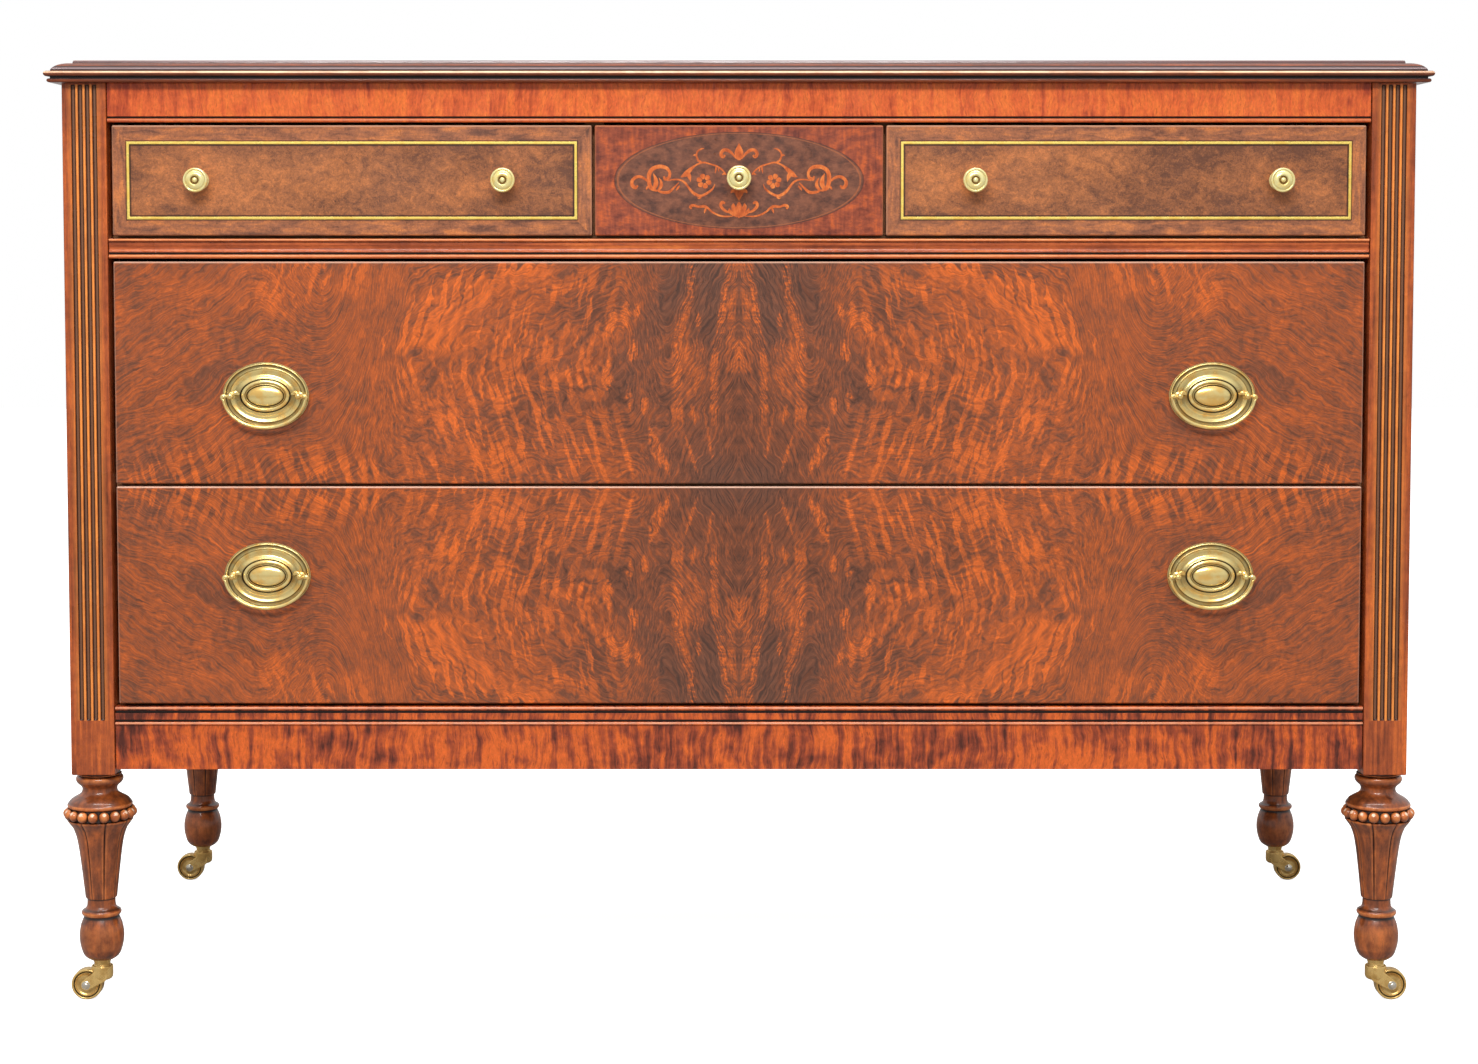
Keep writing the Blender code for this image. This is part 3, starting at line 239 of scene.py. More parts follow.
class Graph:
    """The nodes of a material or of the world."""

    def __init__(self, tree):
        self.tree = tree

    def add(self, kind, *values, named=None, out=0, **settings):
        """One output of a new node whose first inputs, and those named, are fed."""
        node = self.tree.nodes.new(kind)
        for key, setting in settings.items():
            setattr(node, key, setting)
        for socket, value in zip(node.inputs, values):
            self.feed(socket, value)
        for key, value in (named or {}).items():
            self.feed(node.inputs[key], value)
        return Value(self, node.outputs[out])

    def feed(self, socket, value):
        """Links a value to a socket, or sets a number or colour there."""
        if isinstance(value, Value):
            self.tree.links.new(value.socket, socket)
        else:
            socket.default_value = value

    def calc(self, operation, *values):
        return self.add("ShaderNodeMath", *values, operation=operation)

    def greatest(self, first, *others):
        for other in others:
            first = self.calc("MAXIMUM", first, other)
        return first

    def length(self, a, b):
        """Square root of the sum of two squares."""
        return self.calc("SQRT", a * a + b * b)

    def spread(self, value, low, high, out_low=0.0, out_high=1.0, smooth=True):
        """The value carried from one range to another and held inside it."""
        return self.add("ShaderNodeMapRange", value, low, high, out_low, out_high, clamp=True,
                        interpolation_type="SMOOTHSTEP" if smooth else "LINEAR")


class Surface(Graph):
    """A material being built; x, y and z are the place on the dresser in millimetres."""

    def __init__(self, name, metallic=0.0, specular=0.5, coat=0.0, coat_roughness=0.1):
        self.material = bpy.data.materials.new(name)
        self.material.use_nodes = True
        super().__init__(self.material.node_tree)
        self.shader = self.tree.nodes["Principled BSDF"]
        for socket, number in (("Metallic", metallic), ("Specular IOR Level", specular),
                               ("Coat Weight", coat), ("Coat Roughness", coat_roughness)):
            self.shader.inputs[socket].default_value = number
        place = self.add("ShaderNodeTexCoord", out="Object")
        place = self.add("ShaderNodeVectorMath", place, named={"Scale": 1 / MM}, operation="SCALE")
        self.x, self.y, self.z = (self.add("ShaderNodeSeparateXYZ", place, out=axis)
                                  for axis in range(3))

    def noise(self, periods, detail=3.0, roughness=0.5, distortion=0.0, place=None):
        """Soft noise, 0 to 1, with a period in millimetres along each axis or one for all."""
        if isinstance(periods, (int, float)):
            periods = (periods,) * 3
        axes = place or (self.x, self.y, self.z)
        scaled = [axis * (1 / period) for axis, period in zip(axes, periods)]
        return self.add("ShaderNodeTexNoise", out="Fac", noise_dimensions="3D", named={
            "Vector": self.add("ShaderNodeCombineXYZ", *scaled), "Scale": 1.0, "Detail": detail,
            "Roughness": roughness, "Distortion": distortion})

    def flat_noise(self, across, along, periods, seed=0.0, **look):
        """Soft noise over two measures; each seed gives another one."""
        return self.noise((periods[0], 1, periods[1]), place=(across, seed, along), **look)

    def mix(self, share, a, b, blend="MIX"):
        return self.add("ShaderNodeMix", named={0: share, 6: a, 7: b}, out=2, data_type="RGBA",
                        blend_type=blend)

    def ramp(self, value, *stops):
        """A colour ramp from (position, colour) stops."""
        node = self.tree.nodes.new("ShaderNodeValToRGB")
        elements = node.color_ramp.elements
        while len(elements) < len(stops):
            elements.new(1.0)
        for element, (position, colour) in zip(elements, stops):
            element.position = position
            element.color = colour
        self.feed(node.inputs[0], value)
        return Value(self, node.outputs["Color"])

    def hollow(self, distance, samples=6):
        """0 in the open and near 1 in recesses narrower than the distance."""
        return 1.0 - self.add("ShaderNodeAmbientOcclusion", out="AO", samples=samples,
                              only_local=True, named={"Distance": distance * MM})

    def attribute(self, name):
        return self.add("ShaderNodeAttribute", out="Fac", attribute_name=name)

    def band(self, value, centre, half):
        """1 near the centre and 0 beyond a half width of it, with soft edges."""
        return self.spread(abs(value - centre), half * 1.5, half * 0.5)

    def leaf(self, across, along, start, end, half):
        """1 on a stroke from one point to another, pointed at both ends."""
        step = (end[0] - start[0], end[1] - start[1])
        size = math.hypot(*step)
        p, q = across - start[0], along - start[1]
        thin = ((p * step[0] + q * step[1]) * (1 / size ** 2) - 0.5) * 2.0
        off = (p * step[1] - q * step[0]) * (1 / size)
        return self.spread((1.0 - thin * thin) * half - abs(off), -0.8, 2.2)

    def arris_highlight(self, colour, tops, sides, light):
        """Painted highlights along a front's top arris and, fainter, down its sides."""
        lines = [self.band(self.z, height - 0.5, 0.9) for height in tops]
        lines += [self.band(abs(self.x), place, 0.6) * 0.5 for place in sides]
        return self.mix(self.greatest(*lines) * 0.8, colour, light)

    def worn_and_lit(self, colour, glaze_and_shade, bright, dust_and_sheen=DUST):
        """Dark glaze and painted shade in hollows, rubbed light ridges with painted highlights, and
        dull dust with a painted sheen, from the painted wear and light values.
        """
        wear_and_light = self.attribute("wear_and_light")
        patches = self.noise(36, detail=5, roughness=0.68)
        rubbed_and_highlight = self.spread(wear_and_light, 0.55, 1.0) * self.spread(patches, 0.36, 0.60, 0.6, 1.0)
        colour = self.mix(rubbed_and_highlight, colour, bright)
        colour = self.mix(self.spread(wear_and_light, 0.42, 0.04), colour, glaze_and_shade)
        return self.mix(self.spread(wear_and_light, -0.2, -1.0), colour, dust_and_sheen)

    def speckled(self, colour, periods, amount, place=None):
        """The colour a little lighter and darker in small spots."""
        spots = self.noise(periods, detail=3, roughness=0.7, place=place)
        level = self.spread(spots, 0.3, 0.7, 1 - amount, 1 + amount, smooth=False)
        return self.mix(1.0, colour, level, "MULTIPLY")

    def glazed_and_shaded(self, colour, distance, low, high, glaze_and_shade=GLAZE_AND_SHADE):
        """Dark glaze and painted shade in recesses narrower than the distance."""
        return self.mix(self.spread(self.hollow(distance), low, high), colour, glaze_and_shade)

    def gloss(self, period, detail, low, high):
        """Roughness that drifts from one value to another in patches."""
        return self.spread(self.noise(period, detail), 0.3, 0.7, low, high)

    def finish(self, colour, roughness, height, depth):
        """Sets the shader; the height's full range stands for the depth in millimetres."""
        bump = self.add("ShaderNodeBump", named={"Strength": 1.0, "Distance": depth * MM,
                                                 "Height": height})
        for name, value in (("Base Color", colour), ("Roughness", roughness), ("Normal", bump)):
            self.feed(self.shader.inputs[name], value)
        return self.material


def grained(name, along, light, dark, streak, roughness=(0.20, 0.34), bright=None, dust_and_sheen=DUST):
    """Straight-grained wood whose grain runs along one axis, with open pores and dark streaks."""
    s = Surface(name, **LACQUER)

    def stretched(period, length):
        return [length if axis == along else period for axis in range(3)]

    figure = s.noise(stretched(3.2, 90.0), detail=5, roughness=0.62)
    broad = s.noise(stretched(22.0, 160.0))
    pores = s.spread(s.noise(stretched(0.7, 9.0), detail=2), 0.60, 0.74)
    blotch = s.noise(11, detail=4, roughness=0.6)
    tone = figure * 0.5 + broad * 0.3 + blotch * 0.2
    colour = s.ramp(tone, (0.34, dark), (0.50, light), (0.64, streak))
    colour = s.mix(pores * 0.5, colour, dark)
    colour = s.speckled(colour, stretched(2.0, 6.0), 0.14)
    if bright:
        colour = s.worn_and_lit(colour, MOULDED_GLAZE_AND_SHADE, bright, dust_and_sheen)
    colour = s.glazed_and_shaded(colour, 5.0, 0.25, 0.85)
    return s.finish(colour, s.gloss(40, 4, *roughness), figure * 0.4 - pores * 0.6, 0.05)


def cross_banded(name, light, dark, streak, bright, span_of_tone=0.24):
    """Veneer whose figure stands upright in short bars, like ribbon mahogany laid across."""
    s = Surface(name, **LACQUER)
    place = (s.x + (s.noise((60, 60, 35), detail=2) - 0.5) * 14, s.y, s.z)
    bars = s.noise((5.5, 8, 60), detail=4, roughness=0.6, place=place)
    mottle = s.noise((18, 20, 16))
    broad = s.noise((110, 60, 90), detail=2)
    ticks = s.spread(s.noise((1.6, 2, 7), detail=2, place=place), 0.60, 0.70)
    tone = bars * 0.5 + mottle * 0.3 + broad * 0.2 + s.spread(abs(s.x), 450, 570, 0.012, -0.04)
    colour = s.ramp(tone, (0.48 - span_of_tone / 2, dark), (0.475, light),
                    (0.48 + span_of_tone / 2, streak))
    colour = s.mix(ticks * 0.45, colour, dark)
    colour = s.speckled(colour, (2.2, 2.2, 5.0), 0.20, place)
    colour = s.worn_and_lit(colour, MOULDED_GLAZE_AND_SHADE, bright)
    colour = s.glazed_and_shaded(colour, 5.0, 0.25, 0.85)
    return s.finish(colour, s.gloss(50, 4, 0.18, 0.30), bars * 0.3 - ticks, 0.04)


# The flame veneer is drawn by two distances: u out from the dresser's middle and a from the line
# between the two long drawers. Its flames stand round an eye at this distance from that line.
EYE = 113.0
# Flames of the middle: start, end and half width, each place as (u, a)
HEART_LEAVES = (
    ((103, 176), (106, 143), 5.0), ((90, 170), (98, 150), 3.6), ((114, 166), (122, 134), 5.5),
    ((96, 134), (101, 112), 4.4), ((121, 118), (122, 84), 5.4), ((104, 100), (100, 66), 3.0),
    ((86, 84), (88, 64), 5.0), ((83, 56), (72, 16), 5.6), ((76, 40), (63, 6), 3.8),
    ((37, 162), (38, 140), 3.4), ((34, 82), (22, 8), 1.7), ((44, 78), (40, 54), 3.0),
    ((52, 52), (36, 4), 2.6), ((112, 52), (96, 2), 3.2))


def crotch_grain(s, u, a):
    """Fine grain lines, as the level that they follow: ovals round the eye, a swirl further out."""
    reach = s.spread(u, 60, 260, 1 / 200, 1 / 330)
    ovals = s.length(u * reach, (a - EYE) * (1 / 115)) * 115.0
    knot = s.length((u - 372) * (1 / 75), (a - 190) * (1 / 120))
    slope = a * 0.9 + u * 0.42 + s.spread(knot, 1.0, 0.0, 0, 85)
    share = s.spread(u, 300, 385)
    level = ovals * (1.0 - share) + slope * share
    share = s.spread(u, 112, 58)
    level = level * (1.0 - share) + (u * 1.1 + a * 0.42) * share
    wobble = s.flat_noise(u, a, (60, 45), detail=2) - 0.5
    ripple = s.flat_noise(u, a, (15, 13), 3.0, detail=2) - 0.5
    return level + (wobble * 36.0 + ripple * 7.0)


def crotch_flames(s, u, a):
    """Pointed flames in rows round the eye: how far each place is lifted or darkened by them."""
    sway = s.flat_noise(u, a, (34, 26), 13.0, detail=2) - 0.5
    up = a - EYE + sway * 26.0
    off = s.length(up, 12.0) - 12.0
    jag = s.flat_noise(u, a, (4, 7), roughness=0.6) - 0.5
    lean = u + off * 0.32 + (jag * 6.0 + sway * 9.0)
    sway = s.flat_noise(u, a, (80, 70), 2.0, detail=1) - 0.5
    ring = s.length(u * (1 / 330), off * (1 / 112)) + sway * 0.10

    uneven = s.flat_noise(lean, a, (26, 400), 9.0, detail=1)
    wave = s.calc("PINGPONG", lean * (1 / 12.5) + uneven * 2.4, 0.5)
    beyond = wave * s.spread(uneven, 0.3, 0.7, 0.20, 0.42) + 0.88 - ring
    teeth = s.spread(beyond, -0.01, 0.02) * s.spread(beyond, 0.17, 0.03, 0.30, 1.0)
    teeth = teeth * s.spread(beyond, 0.30, 0.16) * (s.spread(up, 2, 16) * s.spread(u, 150, 190))

    flame = s.flat_noise(lean, a + jag * 18.0, (6.8, 44), roughness=0.45)
    outside = s.spread(ring, 0.20, 0.50)
    level = (outside * s.spread(ring, 0.84, 0.72) * s.spread(up, -6, 8)
             + outside * s.spread(ring, 1.06, 0.92) * s.spread(up, 8, -6))
    foot = s.spread(a, 54, 14) * s.spread(u, 160, 240, 0.4, 0.9)
    top = s.spread(a, 140, 190) * s.band(u, 385, 60) * 0.8
    uneven = s.spread(s.flat_noise(u, a, (70, 50), 7.0, detail=1), 0.34, 0.54, 0.5, 1.0)
    level = s.greatest(level, foot, top) * s.spread(u, 80, 150) * uneven
    return s.greatest((s.spread(flame, 0.46, 0.57) - 0.38) * level, teeth * 0.62)


def crotch_heart(s, u, a):
    """The feathered middle: ladders of short bars, thin curves and leaning flames, and plumes."""
    jag = s.flat_noise(u, a, (4, 5), roughness=0.6) - 0.5
    across = u + jag * 8.0
    slant = (1.0 - s.spread(a, 128, 152)) * 0.9
    bars = s.spread(s.flat_noise(u, a + u * slant, (11, 2.9), detail=1), 0.42, 0.60, 0.45, 1.0)
    rail = s.spread(a, 200, 112, 9, 23, smooth=False)
    inner = s.band(across, rail, 3.6)
    second = s.band(across, rail * 0.42, 3.0) * s.spread(a, 120, 150, 0.35, 0.8)
    arrow = s.band(across, 0.0, 7.0) * s.band(a, 122, 17)
    outer_line = s.spread(a, 192, 125, 44, 57) + s.spread(a, 50, 0, 0, -8)
    outer = s.band(across, outer_line, 4.6) * s.spread(a, 30, 75)
    field = s.band(u, 42, 10) * s.band(a, 108, 30) * 0.6
    ladder = s.greatest(inner, second, arrow) * s.spread(a, 40, 75)
    fire = s.greatest(ladder, outer, field) * bars
    for start, end, half in HEART_LEAVES:
        fire = s.greatest(fire, s.leaf(across, a + jag * 14.0, start, end, half) * 0.85)
    dashes = s.flat_noise(across, a + u * 0.5, (3.4, 2.4), 21.0, roughness=0.65)
    fire = fire * s.spread(dashes, 0.38, 0.60, 0.40, 1.05)
    plume = s.band(u, s.spread(a, 90, 200, 30, 27), 13) * s.spread(a, 100, 150)
    foot = s.spread(a, 46, 8) * s.spread(u, 58, 20)
    wing = s.band(a + u * 1.5, 268, 26) * s.spread(u, 125, 85) * 0.8
    return fire, s.greatest(plume, foot, wing) * s.spread(u, 140, 100)


def crotch():
    """Flame veneer, matched four ways round the line between the two long drawers."""
    s = Surface("crotch_veneer_figure", **LACQUER)
    u, a = abs(s.x), abs(s.z - SPLIT_Z)
    level, along = crotch_grain(s, u, a), u + a
    fibres = s.flat_noise(level, along, (2.1, 13), roughness=0.6, distortion=0.5)
    lines = s.flat_noise(level, along, (1.5, 46), 2.0, detail=2, roughness=0.6)
    streaks = s.flat_noise(level, along, (7.5, 80), 4.0)
    clouds = s.flat_noise(u, a, (75, 50))
    patches = s.flat_noise(u, a, (8, 11), 5.0, detail=5, roughness=0.62, distortion=0.8)
    fire, plume = crotch_heart(s, u, a)
    tone = (fibres * 0.34 + lines * 0.14 + (clouds * 0.18 + patches * 0.22) + streaks * 0.12
            + s.spread(u, 50, 330, -0.025, 0.008) + crotch_flames(s, u, a) * 0.19
            + fire * 0.17 * s.spread(fibres, 0.30, 0.60, 0.35, 1.0)
            + s.spread(u, 130, 20) * -0.030)
    colour = s.ramp(tone, (0.37, srgb(86, 56, 44)), (0.46, srgb(128, 75, 52)),
                    (0.54, srgb(174, 89, 47)), (0.67, srgb(232, 112, 45)))
    plume_colour = s.mix(s.spread(fibres, 0.36, 0.62), srgb(78, 56, 48), srgb(120, 78, 60))
    colour = s.mix(plume * s.spread(tone, 0.50, 0.60, 0.7, 0.0), colour, plume_colour)
    colour = s.mix(s.spread(lines, 0.57, 0.70) * 0.45, colour, srgb(84, 50, 38))
    colour = s.speckled(colour, (1.7, 1, 4.2), 0.20, (level, 6.0, along))
    # Painted highlights along the long drawers' top edges and, fainter, their outer sides.
    colour = s.arris_highlight(colour, [span(f"{row}_drawer_front")[1][2] for row in ("upper", "lower")],
                     [span("upper_drawer_front")[1][0] - 0.5], srgb(232, 186, 160))
    colour = s.glazed_and_shaded(colour, 4.0, 0.30, 0.90)
    return s.finish(colour, s.gloss(60, 5, 0.18, 0.30), fibres * 0.4 - lines * 0.5, 0.03)


STRING_INSET = (13.4, 14.8)     # from the drawer front's ends and from its long edges
STRING_WIDTH = 2.5
OVAL_HALF_WIDTH = 114.5
OVAL_HALF_HEIGHT = 44.3


def burl():
    """Burl field with a darker edge and painted shadow lines along both sides of the brass string;
    outside the string a border with its grain along it.
    """
    s = Surface("burl_veneer_figure", **LACQUER)
    low, high = span("right_drawer_front")
    side_x, side_z = abs(s.x) - (low[0] + high[0]) / 2, s.z - SMALL_Z
    out_x = abs(side_x) - (high[0] - low[0]) / 2
    out_z = abs(side_z) - (high[2] - low[2]) / 2
    edge = s.greatest(out_x + STRING_INSET[0], out_z + STRING_INSET[1])

    knots = s.noise((15, 16, 11), detail=5, roughness=0.65, distortion=1.4)
    clouds = s.noise((85, 30, 45))
    curls = s.noise((3.4, 5, 2.6), roughness=0.55, distortion=3.2)
    tone = knots * 0.36 + clouds * 0.34 + curls * 0.30 + s.spread(edge, -26.0, -3.0) * -0.035
    field = s.ramp(tone, (0.39, srgb(108, 68, 50)), (0.49, srgb(158, 98, 62)),
                   (0.59, srgb(200, 122, 70)))

    upright = s.calc("GREATER_THAN", out_x, out_z)
    level = 1.0 - upright
    place = (side_x * level + side_z * upright, s.x * 0.01 + upright * 40.0,
             out_z * level + out_x * upright)
    streaks = s.noise((34, 1, 5.5), detail=4, roughness=0.6, distortion=0.7, place=place)
    patches = s.noise((24, 1, 13), detail=4, roughness=0.6, place=place)
    tone = streaks * 0.45 + patches * 0.35 + curls * 0.20
    border = s.ramp(tone, (0.40, srgb(112, 72, 56)), (0.50, srgb(164, 102, 70)),
                    (0.60, srgb(208, 126, 72)))

    colour = s.mix(s.calc("GREATER_THAN", edge, 0.0), field, border)
    # Painted shadow lines in dark brown along the inner and outer sides of the brass string.
    inner_shadow_line = s.band(edge, -STRING_WIDTH - 0.7, 0.9) * 0.8
    outer_line = s.band(edge, 0.35, 0.7) * 0.7
    colour = s.mix(s.greatest(inner_shadow_line, outer_line), colour, srgb(40, 24, 18))
    lines = s.spread(s.noise((1.1, 1.2, 3.4), detail=2, distortion=1.6), 0.58, 0.70)
    colour = s.mix(lines * 0.4, colour, srgb(88, 56, 42))
    colour = s.speckled(colour, (2.6, 2.6, 2.2), 0.20)
    # Painted highlights along the drawer front's top edge and, fainter, its two sides.
    colour = s.arris_highlight(colour, [high[2]], [low[0] + 0.5, high[0] - 0.5], srgb(214, 166, 136))
    colour = s.glazed_and_shaded(colour, 4.0, 0.30, 0.90)
    return s.finish(colour, s.gloss(50, 5, 0.26, 0.38), knots * 0.3 - lines * 0.5, 0.04)


def centre():
    """Red-brown veneer round a dark oval with a thin light line."""
    s = Surface("centre_veneer_figure", **LACQUER)
    place = (s.x, s.y, s.z + (s.noise((50, 60, 30), detail=2) - 0.5) * 18)
    mottle = s.noise((15, 10, 8), detail=4, roughness=0.6, place=place)
    bars = s.noise((4, 10, 26))
    ground = s.ramp(mottle * 0.6 + bars * 0.4, (0.36, srgb(112, 52, 40)),
                    (0.50, srgb(156, 76, 50)), (0.62, srgb(198, 94, 48)))
    inner = s.ramp(s.noise((12, 10, 9), detail=4, roughness=0.6),
                   (0.36, srgb(88, 56, 46)), (0.60, srgb(136, 84, 62)))
    reach = s.length(s.x * (1 / OVAL_HALF_WIDTH), (s.z - SMALL_Z) * (1 / OVAL_HALF_HEIGHT))
    edge = (reach - 1.0) * ((OVAL_HALF_WIDTH + OVAL_HALF_HEIGHT) / 2)
    colour = s.mix(s.spread(edge, 0.15, -0.15), ground, inner)
    colour = s.mix(s.band(edge, -2.0, 0.55) * 0.65, colour, srgb(178, 100, 60))
    colour = s.mix(s.spread(abs(edge), 0.7, 0.3) * 0.6, colour, srgb(80, 44, 38))
    lines = s.spread(s.noise((6, 2, 1.1), detail=2, place=place), 0.60, 0.72)
    colour = s.mix(lines * 0.35, colour, srgb(88, 44, 34))
    colour = s.speckled(colour, (3.0, 2.0, 1.8), 0.16)
    high = span("centre_drawer_front")[1]
    # Painted highlights along the drawer front's top edge and, fainter, its sides.
    colour = s.arris_highlight(colour, [high[2]], [high[0] - 0.5], srgb(204, 130, 96))
    colour = s.glazed_and_shaded(colour, 4.0, 0.30, 0.90)
    return s.finish(colour, s.gloss(50, 5, 0.24, 0.36), mottle * 0.3 - lines * 0.5, 0.04)


def turned_wood():
    """Carved and turned mahogany: dark glaze and painted shade in the hollows, rubbed wear and
    painted highlights on the high places, pale painted highlight spots on the beads.
    """
    s = Surface("turned_figure", specular=0.35, coat=0.8, coat_roughness=0.12)
    figure = s.noise((6, 6, 44), detail=4, roughness=0.6)
    mottle = s.noise((9, 9, 12), detail=4, roughness=0.6)
    wood = s.ramp(figure * 0.6 + mottle * 0.4, (0.36, srgb(96, 46, 22)),
                  (0.50, srgb(144, 73, 33)), (0.64, srgb(190, 97, 39)))
    bright = s.ramp(mottle, (0.38, srgb(182, 94, 42)), (0.62, srgb(238, 142, 72)))
    colour = s.worn_and_lit(s.speckled(wood, (2.0, 2.0, 2.6), 0.14), CARVED_GLAZE_AND_SHADE, bright)
    colour = s.glazed_and_shaded(colour, 5.0, 0.35, 0.85, CARVED_GLAZE_AND_SHADE)
    pores = s.spread(s.noise((0.8, 0.8, 7), detail=2), 0.62, 0.74)
    colour = s.mix(pores * 0.4, colour, srgb(60, 34, 26))
    # Pale painted highlight spots where the painted value passes 1.2, on the beads' upper outer
    # sides.
    colour = s.mix(s.spread(s.attribute("wear_and_light"), 1.2, 1.9), colour, srgb(255, 222, 190))
    return s.finish(colour, s.gloss(14, 4, 0.30, 0.46), figure * 0.3 - pores * 0.7, 0.05)


def inlay_wood():
    """Light tropical wood of the inlaid ornament, in drifting shades."""
    s = Surface("inlay_figure", **LACQUER)
    figure = s.noise((3, 3, 6), detail=4, roughness=0.6)
    colour = s.ramp(figure * 0.5 + s.noise(7, detail=2) * 0.5, (0.34, srgb(170, 76, 34)),
                    (0.50, srgb(212, 104, 46)), (0.66, srgb(236, 136, 66)))
    return s.finish(colour, 0.32, figure, 0.03)


def plain_wood(name, light, dark):
    """Secondary wood of boxes, frames and back: pale, dry, with long growth rings."""
    s = Surface(name, specular=0.3)
    sway = (s.noise((420, 420, 300), detail=1) - 0.5) * 40
    rings = s.noise((520, 160, 13), detail=4, roughness=0.6,
                    place=(s.x, s.y, s.z + (sway + s.x * 0.015)))
    tone = rings * 0.5 + s.noise((46, 30, 1.1)) * 0.5
    stains = s.noise((130, 90, 90), detail=4)
    colour = s.ramp(tone, (0.36, dark), (0.60, light))
    colour = s.mix(s.spread(stains, 0.48, 0.75) * 0.35, colour, dark)
    return s.finish(colour, s.spread(stains, 0.3, 0.7, 0.55, 0.75), tone, 0.15)


def brass(name, bright, dull, dark, roughness, recess, brushed=0.0, metallic=1.0):
    """Brass with faint handling marks and with patina in its recesses and where it is painted; on
    the pulls' dishes the painted patina also holds painted shade.
    """
    s = Surface(name, metallic=metallic)
    cloud = s.noise(9)
    scratches = s.noise((0.5, 6, 0.5), detail=2)
    patina_and_shade = s.spread(s.hollow(recess, 12) + (cloud - 0.5) * 0.2, 0.30, 0.78)
    patina_and_shade = s.greatest(patina_and_shade, s.attribute("wear_and_light"))
    colour = s.mix(patina_and_shade, s.mix(s.spread(cloud, 0.42, 0.68), bright, dull), dark)
    gloss = s.spread(cloud, 0.3, 0.7, *roughness) + patina_and_shade * 0.25
    return s.finish(colour, gloss, cloud * 0.4 + scratches * (0.15 + brushed), 0.012)


# The bright colours are both rubbed wear and painted highlights on beads and edges.
woods = {
    "post": grained("mahogany_upright", 2, srgb(168, 82, 44), srgb(94, 46, 32),
                    srgb(220, 112, 50), bright=srgb(255, 158, 74), dust_and_sheen=srgb(136, 92, 66)),
    # The board's bright colour is the painted highlight on its bead; its dust colour is grey dust
    # on the step face and a painted sheen on the ovolo's foot and the lower bead.
    "board": grained("mahogany_lengthwise", 0, srgb(122, 60, 34), srgb(76, 38, 26),
                     srgb(162, 78, 40), roughness=(0.14, 0.24), bright=srgb(255, 204, 164),
                     dust_and_sheen=srgb(138, 112, 112)),
    "moulding": grained("moulding_lengthwise", 0, srgb(188, 92, 48), srgb(122, 56, 34),
                        srgb(230, 124, 60), bright=srgb(238, 146, 88)),
    "side": grained("mahogany_side", 2, srgb(146, 84, 52), srgb(96, 56, 38), srgb(178, 102, 58)),
    "frieze": cross_banded("frieze_figure", srgb(224, 102, 50), srgb(168, 66, 38),
                           srgb(242, 122, 54), srgb(222, 130, 86)),
    "apron": cross_banded("apron_figure", srgb(158, 70, 42), srgb(88, 40, 30),
                          srgb(224, 104, 42), srgb(228, 150, 110), 0.17),
    "crotch": crotch(),
    "burl": burl(),
    "centre": centre(),
    "turned": turned_wood(),
    "inlay": inlay_wood(),
    "box": plain_wood("drawer_box_wood", srgb(214, 174, 130), srgb(172, 128, 88)),
    "frame": plain_wood("case_inner_wood", srgb(196, 140, 98), srgb(150, 98, 66)),
}
brasses = {
    "knob": brass("knob_brass", srgb(255, 244, 176), srgb(255, 230, 146), srgb(130, 90, 32),
                  (0.16, 0.26), 1.5, metallic=0.42),
    "pull": brass("pull_brass", srgb(255, 232, 158), srgb(252, 206, 118), srgb(54, 34, 12),
                  (0.14, 0.24), 2.0, metallic=0.68),
    "string": brass("string_brass", srgb(255, 226, 116), srgb(244, 204, 92), srgb(150, 106, 44),
                    (0.24, 0.34), 0.8, metallic=0.3),
    "caster": brass("caster_brass", srgb(250, 212, 136), srgb(214, 172, 100), srgb(44, 32, 14),
                    (0.20, 0.34), 3.0, 0.2, metallic=0.7),
    "axle": brass("axle_steel", srgb(236, 232, 220), srgb(200, 194, 176), srgb(60, 54, 40),
                  (0.14, 0.26), 1.5),
}

# The nodes that stay, by the end or the start of their names; the first that fits gives the wood
KEPT_WOODS = (
    (("_box", "_bottom"), (), "box"),
    (("left_drawer_front", "right_drawer_front"), (), "burl"),
    (("centre_drawer_front",), (), "centre"),
    (("_drawer_front",), (), "crotch"),
    ((), ("side_panel", "rear_post"), "side"),
    (("_frame",), ("partition", "back_panel"), "frame"))


def dress_nodes():
    """Gives the nodes that stay their woods."""
    for name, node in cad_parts.items():
        for endings, starts, wood in KEPT_WOODS:
            if name.endswith(endings) or name.startswith(starts):
                for slot in node.material_slots:
                    slot.material = woods[wood]
                break


# Top board

def with_wear_and_light(points, wear_and_light):
    return [(*point, worn_and_lit) for point, worn_and_lit in zip(points, wear_and_light)]


